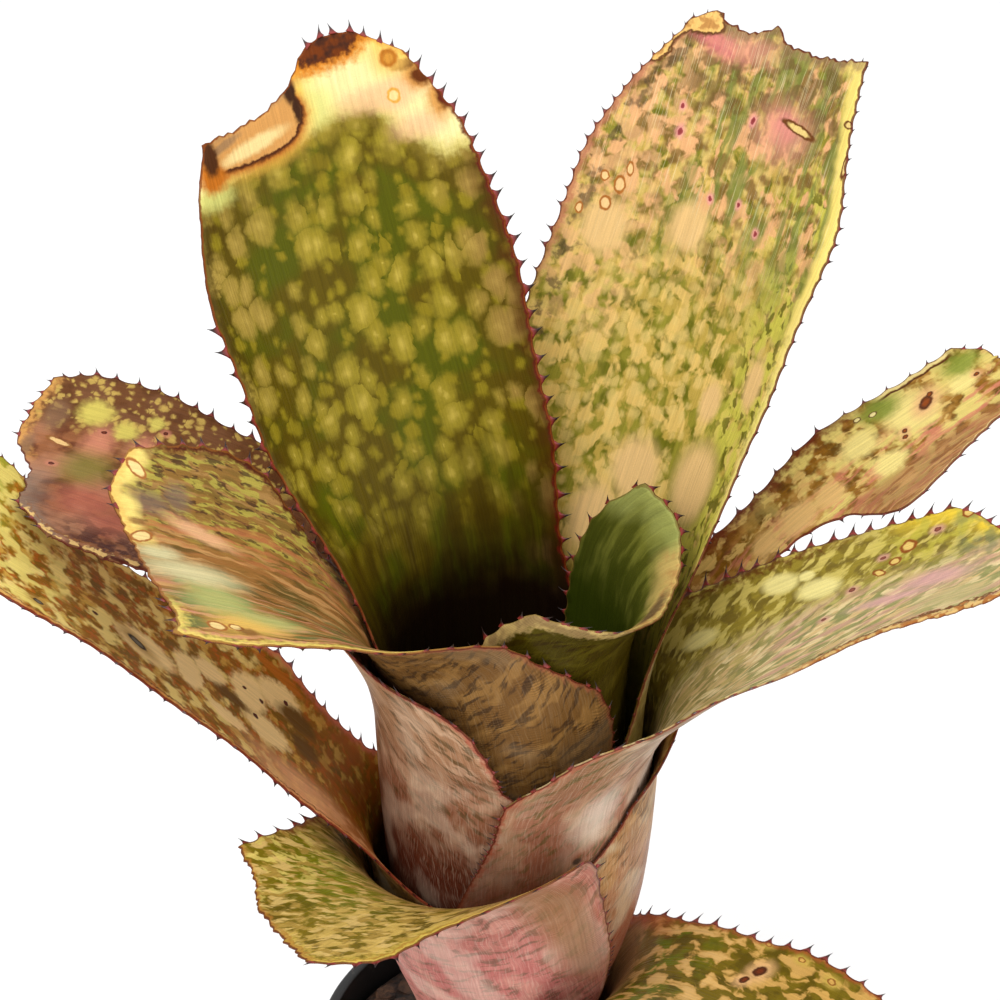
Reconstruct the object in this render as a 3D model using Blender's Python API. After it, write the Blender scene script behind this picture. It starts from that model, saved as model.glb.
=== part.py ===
"""Potted tank bromeliad: ten spiny strap leaves nested in a tube, in bark mix, in a round black pot.

The frame: the origin is the middle of the pot's underside, +Z is up and -Y is the front.
Lengths here are millimetres, and MM turns them into metres when a mesh is made. Angles are degrees.

Every leaf follows one rule. Up to its grip it is a sheath that lies on the shared tube, one LAYER_PITCH
outside the leaf within. Past the grip its midrib leans out and its channel opens. Points on a leaf are
given by two lengths: along the midrib from the grip, and around it, where plus is anticlockwise from above.
"""

from dataclasses import dataclass

import bmesh
import bpy
import numpy as np
from mathutils import Vector
from mathutils.geometry import delaunay_2d_cdt

MM = 0.001
FIT_GAP = 0.3

# Pot: a 10.5 cm nursery pot with a stepped band and a rolled rim
POT_HEIGHT = 90.0
POT_RIM_RADIUS = 52.5
POT_RIM_DEPTH = 3.0
POT_RIM_ROUND = 0.8
POT_BAND_RADIUS = 50.6
POT_BAND_DEPTH = 16.0
POT_STEP = 2.0
POT_TOP_RADIUS = 48.6
POT_FOOT_RADIUS = 36.0
POT_FOOT_ROUND = 1.5
POT_WALL = 1.4
POT_FLOOR = 2.0
POT_SEGMENTS = 36

# Drain holes in the pot's floor, turned a little so that none meets a corner of the pot
DRAIN_HOLES = 6
DRAIN_RADIUS = 4.0
DRAIN_RING = 24.0
DRAIN_TURN = 24.0

# Bark mix: flat under the sheaths, lumpy towards the pot's wall
SOIL_TOP = 80.8
SOIL_RINGS = (43.0, 38.0, 33.0)
SOIL_FLAT_RADIUS = 27.0
SOIL_LUMP = 0.75
SOIL_BRIM_GAP = 0.7

# Stem: the short caudex that the sheaths grow from
STEM_RADIUS = 9.0
STEM_FOOT = 40.0
STEM_SHOULDER = 97.0
STEM_TOP = 104.0

# The tube of nested sheaths: height and radius of the innermost leaf's middle surface
TUBE = [(78, 9.3), (98, 10.8), (112, 14.0), (132, 20.5), (152, 24.8), (175, 26.6), (205, 27.6), (250, 29.0)]
LAYER_PITCH = 1.5
LEAF_THICKNESS = 1.0
TILT_EASE = 30.0

# Facets: the sheaths share their corners' bearings and heights, so nested facets stay parallel
FACET = 24.0
LEVELS = (100, 116, 132, 146, 160, 174, 188, 202)
BLADE_ROW = 15.0

# Marginal spines: hooked towards the tip, from SPINES_FROM up
SPINE_LENGTH = 2.5
SPINE_WIDTH = 2.0
SPINE_HOOK = 0.9
SPINE_SPACING = 11.0
SPINE_CLEAR = 0.8
SPINES_FROM = 165.0

# How finely curves are worked out, and the shortest edge kept
STEP = 0.5
TIP_POINTS = 161
SHORTEST = 0.4


@dataclass
class Leaf:
    """One leaf. azimuth is where its midrib points, layer counts outwards from 0, foot and grip are heights.

    sheath rows: height, wrap clockwise, wrap anticlockwise (degrees from the midrib).
    blade rows: along, lean from upright, roll, width clockwise, width anticlockwise,
    channel radius clockwise, channel radius anticlockwise.
    end rows: place across from -1 to 1, and how far the tip is cut back there.
    bare: the stretch of the end, in the same -1 to 1, that carries no spines.
    """

    name: str
    azimuth: float
    layer: int
    foot: float
    grip: float
    sheath: list
    blade: list
    end: list
    colour: tuple
    bare: tuple = (-0.45, 0.45)


ROUND_END = [(-1, 12), (-0.6, 4), (-0.1, 1.5), (0, 0), (0.1, 1.5), (0.6, 3.5), (1, 10)]

LEAVES = [
    Leaf(
        name="leaf_01_heart", azimuth=-38, layer=0, foot=88, grip=188, colour=(0.20, 0.26, 0.03),
        sheath=[(88, 150, 150), (148, 120, 110), (188, 95, 100)],
        blade=[(27, 2.5, 0, 40, 46, 23.8, 25.8), (45, 19.5, 0, 36, 45, 24, 26), (63, 58, 0, 26, 39, 26, 28)],
        end=[(-1, 7), (-0.7, 3), (-0.2, 1.5), (0, 0), (0.2, 1.5), (0.7, 2.5), (1, 6)],
    ),
    Leaf(
        name="leaf_02_back_left", azimuth=128, layer=1, foot=85, grip=216, colour=(0.19, 0.20, 0.02),
        sheath=[(85, 150, 150), (165, 130, 130), (216, 72, 95)],
        blade=[(15, 16, -4, 34, 36, 36, 36), (40, 27, -15, 38, 37.5, 45, 45),
               (62, 25.4, -18, 39.5, 41.2, 50, 50), (80, 24, -20, 40.5, 41.5, 55, 55),
               (115, 21, -20, 35.3, 35.5, 65, 65), (126, 20.5, -19.3, 30.5, 30.8, 68, 68),
               (134, 20.2, -18.7, 26, 29.5, 71, 71), (145, 20, -18, 18, 25, 75, 75)],
        end=[(-1, 8), (-0.85, 3.5), (-0.65, 0.2), (-0.4, 0), (-0.2, 0.5), (0, 3.5), (0.12, 8), (0.25, 12),
             (0.5, 15.5), (0.75, 17), (1, 18)],
        bare=(0.0, 1.0),
    ),
    Leaf(
        name="leaf_03_front_left", azimuth=203, layer=2, foot=84, grip=202, colour=(0.33, 0.25, 0.10),
        sheath=[(84, 150, 150), (162, 130, 130), (202, 75, 118)],
        blade=[(10, 8.5, 0, 36, 63.5, 33, 32), (16, 14.5, 0, 31, 61.5, 33.3, 32),
               (20, 18.5, 0, 28, 56, 33.5, 32), (27, 26, 0, 24.5, 48, 34, 32),
               (41, 42, 0, 22, 42.5, 36, 45), (52, 49, 0, 27.5, 41, 38, 65),
               (62, 54.5, 0, 35.5, 39.5, 40, 90), (72, 58.5, 0, 37.7, 38.7, 42, 160),
               (84, 62, 0, 36, 40, 45, 250), (104, 67, 0, 28, 34, 60, 300)],
        end=[(-1, 11), (-0.7, 5.5), (-0.4, 7), (0, 8.5), (0.4, 8), (0.7, 8), (1, 5)],
    ),
    Leaf(
        name="leaf_04_back_right", azimuth=46, layer=3, foot=83, grip=202, colour=(0.42, 0.32, 0.12),
        sheath=[(83, 150, 150), (160, 120, 120), (188, 95, 92), (202, 82, 77)],
        blade=[(10, 9, 0, 42, 37, 33, 34), (28, 22, 0, 40, 40, 38, 40), (53, 25, 0, 39.8, 43, 49, 49),
               (70, 26, 0, 36.3, 44.2, 56, 56), (118, 24, 0, 37.2, 42.8, 80, 80),
               (138, 24, 0, 32.4, 37.2, 84, 84), (163, 24, 0, 26.5, 23, 90, 90)],
        end=[(-1, 1.5), (-0.7, 3), (-0.35, 4), (-0.1, 3.5), (0, 3), (0.1, 0), (0.2, 1.5), (0.35, 3.5),
             (0.6, 3), (0.8, 0.5), (1, 4)],
        bare=(-0.9, 0.8),
    ),
    Leaf(
        name="leaf_05_left", azimuth=168, layer=4, foot=82.5, grip=202, colour=(0.30, 0.14, 0.08),
        sheath=[(82.5, 150, 150), (160, 130, 130), (195, 84, 110), (202, 70, 98)],
        blade=[(6, 7, 0, 28.5, 58.5, 36, 36), (14, 15.5, 0, 25, 56, 36, 38),
               (18, 21.5, 0, 24.2, 51, 36, 40), (22, 27.5, 0, 24, 37, 36, 42), (27, 35, 0, 24, 30, 36, 43),
               (43, 60, 0, 29, 29, 40, 60), (68, 70, 0, 28, 35, 45, 110), (92, 76, 0, 31.5, 37, 50, 130),
               (106, 81, 0, 32, 33, 56, 130), (120, 86, 0, 27, 27, 60, 130)],
        end=[(-1, 2.5), (-0.83, 1), (-0.68, 0), (-0.45, 0), (-0.22, 1), (0.03, 6), (0.2, 9), (0.4, 10),
             (0.7, 12), (0.85, 18), (1, 24)],
        bare=(-0.2, 0.6),
    ),
    Leaf(
        name="leaf_06_right_front", azimuth=-15, layer=5, foot=82, grip=188, colour=(0.34, 0.30, 0.12),
        sheath=[(82, 150, 150), (150, 108, 120), (168, 96, 106), (180, 88, 97), (188, 83, 90)],
        blade=[(8, 13, 0, 50, 48, 36, 36), (18, 25, 4, 43, 36, 36, 36), (35, 45, 4, 28, 29.5, 44, 40),
               (60, 53, 1.5, 24.5, 27.2, 53, 45), (80, 57, 0, 22, 26.3, 60, 50),
               (126, 61, 0, 16, 21, 60, 60)],
        end=[(-1, 10), (-0.6, 2), (-0.2, 0), (0.2, 5), (0.6, 14), (0.85, 19), (1, 25)],
    ),
    Leaf(
        name="leaf_07_right_back", azimuth=20, layer=6, foot=81.8, grip=188, colour=(0.38, 0.26, 0.10),
        sheath=[(81.8, 150, 150), (150, 120, 120), (188, 58, 70)],
        blade=[(20, 25, 12, 15, 22, 38, 50), (45, 44.5, 11, 9.5, 11, 45, 60),
               (66, 54, 3, 10.5, 13, 52, 70), (78, 58, 1.5, 14, 15.2, 56, 75),
               (90, 61, 0, 33, 16.7, 60, 80), (101, 62, 0, 29, 16.7, 60, 80),
               (112, 62.5, 0, 22.5, 16, 60, 80), (123, 63, 0, 16.5, 15.3, 60, 80),
               (136, 64, 0, 11, 14, 60, 80)],
        end=ROUND_END,
    ),
    Leaf(
        name="leaf_08_low_left", azimuth=186, layer=7, foot=81.6, grip=160, colour=(0.30, 0.20, 0.06),
        sheath=[(81.6, 150, 150), (136, 120, 120), (160, 70, 76)],
        blade=[(16, 27, 0, 22.5, 28, 46, 60), (28, 34, 0, 21, 25.5, 60, 100),
               (40, 40, 0, 22.8, 24.5, 80, 150), (49, 41.2, 1, 27, 26, 100, 160),
               (60, 42.5, 2, 27, 27.5, 120, 170), (93, 45.5, 6, 24, 28.5, 200, 200),
               (116, 46.3, 4.5, 24.5, 29, 200, 200), (134, 47, 3, 30, 27, 200, 200),
               (168, 48, 0, 26, 22, 200, 200)],
        end=ROUND_END,
    ),
    Leaf(
        name="leaf_09_low_front", azimuth=222, layer=8, foot=81.4, grip=146, colour=(0.31, 0.26, 0.05),
        sheath=[(81.4, 150, 150), (110, 130, 100), (138, 100, 94), (146, 90, 92)],
        blade=[(16, 20, 0, 34, 58, 38.5, 37), (24, 32.5, 0, 28, 60, 37, 42), (29, 40, 0, 25, 50, 36, 50),
               (44, 70, 0, 18.5, 36, 44, 120), (56, 84, 0, 18, 35, 50, 200),
               (64, 88, 0, 16.5, 30, 50, 200), (72, 90, 0, 15, 20, 50, 200)],
        end=[(-1, 14), (-0.6, 13), (0, 7), (0.5, 4.5), (1, 3)],
        bare=(-1.0, 1.0),
    ),
    Leaf(
        name="leaf_10_low_right", azimuth=-34, layer=9, foot=81.2, grip=116, colour=(0.28, 0.20, 0.06),
        sheath=[(81.2, 150, 150), (108, 105, 110), (116, 86, 82)],
        blade=[(6, 29, 0, 36, 33, 32.5, 31), (14, 38, 0, 32, 25.5, 35.5, 33), (28, 64, 0, 30, 20, 38, 60),
               (44, 88, 0, 27, 20, 45, 70), (58, 95, 0, 25.5, 22.3, 47, 70), (72, 102, 0, 24, 22, 50, 70),
               (112, 114, 0, 18, 16, 60, 70)],
        end=ROUND_END,
    ),
]


def through(knots, x):
    """A smooth curve through the knots that never overshoots: cubic pieces with harmonic-mean slopes."""
    kx, ky = np.array(knots, float).T
    h = np.diff(kx)
    slope = np.diff(ky) / h
    m = np.zeros_like(ky)
    same = slope[:-1] * slope[1:] > 0
    m[1:-1][same] = 2 * slope[:-1][same] * slope[1:][same] / (slope[:-1][same] + slope[1:][same])
    m[0], m[-1] = slope[0], slope[-1]
    x = np.clip(x, kx[0], kx[-1])
    i = np.clip(np.searchsorted(kx, x) - 1, 0, len(h) - 1)
    t = (x - kx[i]) / h[i]
    rise = (1 + 2 * t) * (1 - t) ** 2 * ky[i] + t * t * (3 - 2 * t) * ky[i + 1]
    return rise + t * (1 - t) ** 2 * h[i] * m[i] + t * t * (t - 1) * h[i] * m[i + 1]


class Midrib:
    """The leaf's midrib, its cross-section and its margins, sampled every STEP along it."""

    def __init__(self, leaf):
        z_low = np.linspace(leaf.foot, leaf.grip, int((leaf.grip - leaf.foot) / STEP) + 1)
        r_low = through(TUBE, z_low) + leaf.layer * LAYER_PITCH
        s_low = np.concatenate([[0], np.cumsum(np.hypot(np.diff(z_low), np.diff(r_low)))])
        s_low -= s_low[-1]
        self.length = leaf.blade[-1][0]
        s_high = np.linspace(0, self.length, int(self.length / STEP) + 1)[1:]
        self.grip_radius = r_low[-1]

        slope = np.degrees(np.arctan2(r_low[-1] - r_low[-2], z_low[-1] - z_low[-2]))
        wrap = np.radians(leaf.sheath[-1][1:]) * self.grip_radius
        first = (0, slope, 0, *wrap, self.grip_radius, self.grip_radius)
        rows = [first, *leaf.blade]

        def column(i, change=float):
            return through([(row[0], change(row[i])) for row in rows], s_high)

        lean = np.radians(column(1))
        step = np.diff(np.concatenate([[0], s_high]))
        radius = np.concatenate([r_low, r_low[-1] + np.cumsum(np.sin(lean) * step)])
        self.height = np.concatenate([z_low, z_low[-1] + np.cumsum(np.cos(lean) * step)])
        self.s = np.concatenate([s_low, s_high])
        level = np.zeros(len(s_low))
        ease = np.clip(self.s / TILT_EASE, 0, 1)
        tilt = np.concatenate([level, lean]) * ease * ease * (3 - 2 * ease)
        roll = np.concatenate([level, np.radians(column(2))])
        self.curve = [np.concatenate([1 / r_low, column(i, lambda v: 1 / v)]) for i in (5, 6)]
        around = [through([(row[0], row[i]) for row in leaf.sheath], z_low) for i in (1, 2)]
        self.width = [np.concatenate([np.radians(around[i]) * r_low, column(3 + i)]) for i in (0, 1)]
        self.turn = np.concatenate([r_low, np.full(len(s_high), self.grip_radius)])

        bearing = np.radians(leaf.azimuth)
        out = np.array([np.cos(bearing), np.sin(bearing), 0])
        side = np.array([-np.sin(bearing), np.cos(bearing), 0])
        up = np.array([0, 0, 1.0])
        inward = -np.cos(tilt)[:, None] * out + np.sin(tilt)[:, None] * up
        self.point = radius[:, None] * out + self.height[:, None] * up
        self.across = np.cos(roll)[:, None] * side + np.sin(roll)[:, None] * inward
        self.normal = np.cos(roll)[:, None] * inward - np.sin(roll)[:, None] * side

    def at(self, values, s):
        if values.ndim == 1:
            return np.interp(s, self.s, values)
        return np.stack([np.interp(s, self.s, values[:, i]) for i in range(3)], -1)

    def place(self, s, turn):
        """The point at s along, and turn radians of the tube around: an arc of the channel's own radius."""
        arc = turn * self.at(self.turn, s)
        bend = np.where(arc < 0, self.at(self.curve[0], s), self.at(self.curve[1], s))
        rise = (1 - np.cos(bend * arc)) / bend
        run = np.sin(bend * arc) / bend
        lifted = self.at(self.point, s) + rise[..., None] * self.at(self.normal, s)
        return lifted + run[..., None] * self.at(self.across, s)


def blank_edge(leaf, rib):
    """The blank's edge as fine points (turn, s), up the anticlockwise margin, over the tip and down again.

    The second result tells where each point is: 2 and -2 on the margins, and 1 to -1 across the tip.
    """

    def margin(side, s):
        return (-1, 1)[side] * rib.at(rib.width[side], s) / rib.at(rib.turn, s)

    up = np.arange(rib.s[0], rib.length - leaf.end[-1][1], STEP)
    down = np.append(np.arange(rib.length - leaf.end[0][1], rib.s[0], -STEP), rib.s[0])
    u = np.linspace(1, -1, TIP_POINTS)
    s_tip = rib.length - through(leaf.end, u)
    wide = np.where(u >= 0, rib.at(rib.width[1], s_tip), rib.at(rib.width[0], s_tip))
    left = np.stack([margin(1, up), up], 1)
    tip = np.stack([u * wide / rib.at(rib.turn, s_tip), s_tip], 1)
    right = np.stack([margin(0, down), down], 1)
    where = np.concatenate([np.full(len(left), 2.0), u, np.full(len(right), -2.0)])
    return np.concatenate([left, tip, right]), where


def rows_of(leaf, rib):
    """Where the facet rows lie along the leaf: shared heights in the sheath, even steps in the blade."""
    levels = [z for z in LEVELS if leaf.foot + LAYER_PITCH < z < leaf.grip - LAYER_PITCH]
    low = np.interp(levels, rib.height[rib.s <= 0], rib.s[rib.s <= 0])
    high = np.linspace(0, rib.length, round(rib.length / BLADE_ROW) + 1)
    return np.concatenate([[rib.s[0]], low, high])


def spined_edge(leaf, rib, rows):
    """The blank's edge as the few points that it needs, with the spines standing out of it."""
    fine, where = blank_edge(leaf, rib)
    flat = fine * [rib.grip_radius, 1]
    run = np.concatenate([[0], np.cumsum(np.hypot(*np.diff(flat, axis=0).T))])
    on_tip = np.abs(where) <= 1
    corners = [0.0, run[-1]]
    for margin in (where == 2, where == -2):
        order = np.argsort(fine[margin, 1])
        crossed = rows[rows < fine[margin, 1].max()]
        corners.extend(np.interp(crossed, fine[margin, 1][order], run[margin][order]))
    corners.extend(np.interp([-row[0] for row in leaf.end], -where[on_tip], run[on_tip]))

    spined = (rib.at(rib.height, fine[:, 1]) > SPINES_FROM) | (fine[:, 1] > 0)
    spined &= ~(on_tip & (where > leaf.bare[0]) & (where < leaf.bare[1]))
    spines = [q for q in np.arange(SPINE_SPACING, run[-1], SPINE_SPACING) if np.interp(q, run, spined) == 1]

    def edge_at(q):
        return np.array([np.interp(q, run, flat[:, 0]), np.interp(q, run, flat[:, 1])])

    half = SPINE_WIDTH / 2
    clear = half + SPINE_CLEAR
    marks = [(q, edge_at(q)) for q in corners if not any(abs(q - other) < clear for other in spines)]
    for q in spines:
        before, after = edge_at(q - half), edge_at(q + half)
        ahead = (after - before) / np.linalg.norm(after - before)
        outward = np.array([ahead[1], -ahead[0]])
        towards_tip = ahead if q < run[on_tip].mean() else -ahead
        apex = edge_at(q) + outward * SPINE_LENGTH + towards_tip * SPINE_HOOK
        marks += [(q - half, before), (q, apex), (q + half, after)]
    marks.sort(key=lambda mark: mark[0])
    kept = [marks[0]]
    for mark in marks[1:]:
        if mark[0] - kept[-1][0] > SHORTEST:
            kept.append(mark)
    return np.array([point for _, point in kept])


def leaf_surface(leaf):
    """The leaf's middle surface: a blank cut along its edge, with the facet lines in it, bent into place."""
    rib = Midrib(leaf)
    rows = rows_of(leaf, rib)
    edge = spined_edge(leaf, rib, rows)
    facet = np.radians(FACET)
    bearing = np.radians(leaf.azimuth)
    first = np.floor((edge[:, 0].min() / rib.grip_radius + bearing) / facet) - 1
    last = np.ceil((edge[:, 0].max() / rib.grip_radius + bearing) / facet) + 1
    turns = np.arange(first, last + 1) * facet - bearing

    columns = turns * rib.grip_radius
    wide = len(columns)
    grid = [Vector((x, y)) for y in rows for x in columns]
    lines = [(k, k + 1) for k in range(len(grid)) if (k + 1) % wide]
    lines += [(k, k + wide) for k in range(len(grid) - wide)]
    rim = list(range(len(grid), len(grid) + len(edge)))
    found = delaunay_2d_cdt(grid + [Vector(point) for point in edge], lines, [rim], 0, 1e-4)
    flat = np.array(found[0])
    triangles = [face for face, inside in zip(found[2], found[5]) if inside]

    # Bent cell by cell: each point takes its place between the four corners of its facet
    corners = rib.place(np.repeat(rows, wide).reshape(-1, wide), np.tile(turns, (len(rows), 1)))
    x = np.clip((flat[:, 0] - columns[0]) / (columns[1] - columns[0]), 0, wide - 1.001)
    i = np.clip(np.searchsorted(rows, flat[:, 1], side="right") - 1, 0, len(rows) - 2)
    j = x.astype(int)
    u = (x - j)[:, None]
    v = ((flat[:, 1] - rows[i]) / (rows[i + 1] - rows[i]))[:, None]
    bent = (1 - v) * ((1 - u) * corners[i, j] + u * corners[i, j + 1])
    bent += v * ((1 - u) * corners[i + 1, j] + u * corners[i + 1, j + 1])

    used = sorted({index for face in triangles for index in face})
    number = {old: new for new, old in enumerate(used)}
    return bent[used], [[number[index] for index in face] for face in triangles]


def add_object(name, points, faces, colour, roughness):
    """A mesh object, from points in millimetres, with its own material."""
    mesh = bpy.data.meshes.new(name)
    mesh.from_pydata([tuple(p) for p in np.asarray(points) * MM], [], faces)
    thing = bpy.data.objects.new(name, mesh)
    bpy.context.scene.collection.objects.link(thing)
    material = bpy.data.materials.new(name)
    material.use_nodes = True
    shader = material.node_tree.nodes["Principled BSDF"]
    shader.inputs["Base Color"].default_value = (*colour, 1)
    shader.inputs["Roughness"].default_value = roughness
    shader.inputs["Metallic"].default_value = 0.0
    mesh.materials.append(material)
    return thing


def make_leaf(leaf):
    points, faces = leaf_surface(leaf)
    thing = add_object(leaf.name, points, faces, leaf.colour, 0.45)
    solidify = thing.modifiers.new("thickness", "SOLIDIFY")
    solidify.thickness = LEAF_THICKNESS * MM
    solidify.offset = 0
    solidify.use_even_offset = True


def turned(profile, segments, lift=None):
    """A closed solid turned about Z from (radius, height) points that start and end on the axis."""
    angle = np.arange(segments) * 2 * np.pi / segments
    rings = []
    points = []
    for radius, height in profile:
        if radius == 0:
            rings.append([len(points)])
            points.append((0, 0, height))
            continue
        rings.append(list(range(len(points), len(points) + segments)))
        bump = lift(radius, angle) if lift else np.zeros(segments)
        points += list(zip(radius * np.cos(angle), radius * np.sin(angle), height + bump))
    faces = []
    for low, high in zip(rings[:-1], rings[1:]):
        for k in range(segments):
            after = (k + 1) % segments
            face = [low[k % len(low)], low[after % len(low)], high[after % len(high)], high[k % len(high)]]
            faces.append(list(dict.fromkeys(face)))
    return points, faces


def smooth(thing, angle=35.0):
    thing.data.shade_smooth()
    thing.data.set_sharp_from_angle(angle=np.radians(angle))


def wall_radius(height):
    """The pot's outer radius below its band."""
    return POT_FOOT_RADIUS + (POT_TOP_RADIUS - POT_FOOT_RADIUS) * height / POT_HEIGHT


def make_pot():
    """A thin tapered cup with a stepped band, a rolled rim and drain holes in its floor."""
    band = POT_HEIGHT - POT_BAND_DEPTH
    step = band - POT_STEP
    lip = POT_RIM_RADIUS - POT_RIM_DEPTH
    outside = [
        (0, 0), (POT_FOOT_RADIUS - POT_FOOT_ROUND, 0), (POT_FOOT_RADIUS, POT_FOOT_ROUND),
        (wall_radius(step), step), (POT_BAND_RADIUS, band),
        (POT_BAND_RADIUS, POT_HEIGHT - POT_RIM_DEPTH - POT_RIM_ROUND),
        (POT_RIM_RADIUS, POT_HEIGHT - POT_RIM_DEPTH), (POT_RIM_RADIUS, POT_HEIGHT - POT_RIM_ROUND),
        (POT_RIM_RADIUS - POT_RIM_ROUND, POT_HEIGHT),
    ]
    inside = [
        (lip + POT_RIM_ROUND / 2, POT_HEIGHT), (lip, POT_HEIGHT - POT_RIM_ROUND),
        (POT_BAND_RADIUS - POT_WALL, band + POT_WALL), (wall_radius(step) - POT_WALL, step - POT_WALL / 2),
        (wall_radius(POT_FLOOR) - POT_WALL, POT_FLOOR), (0, POT_FLOOR),
    ]
    points, faces = turned(outside + inside, POT_SEGMENTS)
    pot = add_object("pot", points, faces, (0.012, 0.012, 0.013), 0.35)
    for k in range(DRAIN_HOLES):
        angle = np.radians(DRAIN_TURN + k * 360 / DRAIN_HOLES)
        centre = Vector((np.cos(angle), np.sin(angle), 0)) * DRAIN_RING * MM
        bm = bmesh.new()
        bmesh.ops.create_cone(bm, cap_ends=True, segments=12, radius1=DRAIN_RADIUS * MM,
                              radius2=DRAIN_RADIUS * MM, depth=4 * POT_FLOOR * MM)
        bmesh.ops.translate(bm, verts=bm.verts, vec=centre)
        mesh = bpy.data.meshes.new("drain")
        bm.to_mesh(mesh)
        bm.free()
        drill = bpy.data.objects.new(f"drain_{k}", mesh)
        drill.hide_render = True
        drill.display_type = "WIRE"
        bpy.context.scene.collection.objects.link(drill)
        cut = pot.modifiers.new(drill.name, "BOOLEAN")
        cut.operation = "DIFFERENCE"
        cut.object = drill
    smooth(pot)


def soil_lumps(radius, angle):
    """How far the bark stands up round a ring: three waves on the SOIL_RINGS, and nothing elsewhere."""
    if radius not in SOIL_RINGS:
        return np.zeros(len(angle))
    waves = np.sin(5 * angle + radius) + 0.7 * np.sin(9 * angle - 2.1 * radius) + 0.5 * np.cos(14 * angle)
    return SOIL_LUMP * waves


def make_soil():
    """Bark mix that fills the pot, with a plain hole where the stem stands."""
    step = POT_HEIGHT - POT_BAND_DEPTH - POT_STEP
    gap = POT_WALL + FIT_GAP
    hole = STEM_RADIUS + FIT_GAP
    brim = POT_BAND_RADIUS - POT_WALL - SOIL_BRIM_GAP
    bottom = POT_FLOOR + FIT_GAP
    outside = [
        (0, bottom), (wall_radius(POT_FLOOR) - gap, bottom), (wall_radius(step) - gap, step - POT_WALL / 2),
        (brim, step + POT_BAND_DEPTH / 3), (brim, SOIL_TOP - POT_STEP),
    ]
    top = [(radius, SOIL_TOP) for radius in SOIL_RINGS]
    floor = STEM_FOOT - FIT_GAP
    well = [(SOIL_FLAT_RADIUS, SOIL_TOP), (hole, SOIL_TOP), (hole, floor), (0, floor)]
    points, faces = turned(outside + top + well, POT_SEGMENTS, lift=soil_lumps)
    add_object("soil", points, faces, (0.05, 0.025, 0.012), 0.9)


def make_stem():
    """The stem, faceted at the same bearings as the sheaths, with a low dome where the heart leaf starts."""
    profile = [
        (0, STEM_FOOT), (STEM_RADIUS * 0.8, STEM_FOOT), (STEM_RADIUS, STEM_FOOT + 4),
        (STEM_RADIUS, STEM_SHOULDER), (STEM_RADIUS * 0.67, STEM_TOP - 2), (0, STEM_TOP),
    ]
    points, faces = turned(profile, round(360 / FACET))
    stem = add_object("stem", points, faces, (0.35, 0.22, 0.12), 0.7)
    smooth(stem)


def main():
    for thing in list(bpy.data.objects):
        bpy.data.objects.remove(thing)
    make_pot()
    make_soil()
    make_stem()
    for leaf in LEAVES:
        make_leaf(leaf)


main()
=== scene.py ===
# %% [markdown]
# # A potted tank bromeliad
# The plant is ten strap leaves whose wide bases wrap round each other into a tube that holds water.
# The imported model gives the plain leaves, the pot, the bark mix and the stem at their real size.
# This lesson lays finer leaves over the plain ones, sets spines along their margins and paints them.

# %% Load the frame
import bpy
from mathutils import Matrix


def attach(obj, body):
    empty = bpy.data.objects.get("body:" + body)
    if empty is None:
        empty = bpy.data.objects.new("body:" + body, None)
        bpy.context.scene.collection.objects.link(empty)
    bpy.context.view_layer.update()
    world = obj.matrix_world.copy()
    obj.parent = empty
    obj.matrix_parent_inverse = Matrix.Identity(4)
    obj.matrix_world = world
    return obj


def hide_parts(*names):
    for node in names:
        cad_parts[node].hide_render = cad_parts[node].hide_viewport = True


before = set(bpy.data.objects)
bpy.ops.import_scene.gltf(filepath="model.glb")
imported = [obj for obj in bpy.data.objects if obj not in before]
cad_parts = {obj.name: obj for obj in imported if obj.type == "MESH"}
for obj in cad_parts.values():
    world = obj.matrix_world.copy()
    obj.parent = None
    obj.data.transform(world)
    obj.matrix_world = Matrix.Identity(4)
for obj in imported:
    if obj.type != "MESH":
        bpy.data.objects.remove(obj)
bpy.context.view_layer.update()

# %% Tools and units
from dataclasses import dataclass, field

import bpy
import numpy as np
from mathutils import Vector

MM = 0.001
CM_PER_MM = 0.1

# %% [markdown]
# A few helpers serve every piece. One turns a screen colour into the linear light that shaders work in.
# One fills a mesh from whole arrays, which is quick even for a hundred thousand points. Named values can
# be kept on the points, and the materials read them back with Attribute nodes.

# %% Colours and meshes
def linear(code):
    """A screen colour such as "#8a6a3c" as linear light: each share follows the screen's own curve."""
    share = np.array([int(code[i:i + 2], 16) for i in (1, 3, 5)]) / 255
    light = np.where(share <= 0.04045, share / 12.92, ((share + 0.055) / 1.055) ** 2.4)
    return (*light.tolist(), 1.0)


def linked(name, data):
    """A new object in the scene."""
    thing = bpy.data.objects.new(name, data)
    bpy.context.scene.collection.objects.link(thing)
    return thing


def add_mesh(name, points, faces, fields=None):
    """A smooth object from points in millimetres and face arrays, with named values on its points."""
    corners = np.concatenate([part.ravel() for part in faces])
    sides = np.concatenate([np.full(len(part), part.shape[1]) for part in faces])
    mesh = bpy.data.meshes.new(name)
    mesh.vertices.add(len(points))
    mesh.loops.add(len(corners))
    mesh.polygons.add(len(sides))
    mesh.vertices.foreach_set("co", (points * MM).astype(np.float32).ravel())
    mesh.loops.foreach_set("vertex_index", corners.astype(np.int32))
    mesh.polygons.foreach_set("loop_start", running(sides)[:-1].astype(np.int32))
    mesh.update(calc_edges=True)
    mesh.validate()
    mesh.shade_smooth()
    for key, values in (fields or {}).items():
        is_vector = values.ndim == 2
        kept = mesh.attributes.new(key, "FLOAT_VECTOR" if is_vector else "FLOAT", "POINT")
        kept.data.foreach_set("vector" if is_vector else "value", values.astype(np.float32).ravel())
    return linked(name, mesh)


def running(steps):
    """Steps added up from nothing: the first value is 0 and the last their whole sum."""
    return np.concatenate([[0], np.cumsum(steps)])


def unit(vectors):
    """Vectors cut to length 1."""
    return vectors / np.linalg.norm(vectors, axis=-1)[..., None]


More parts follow.
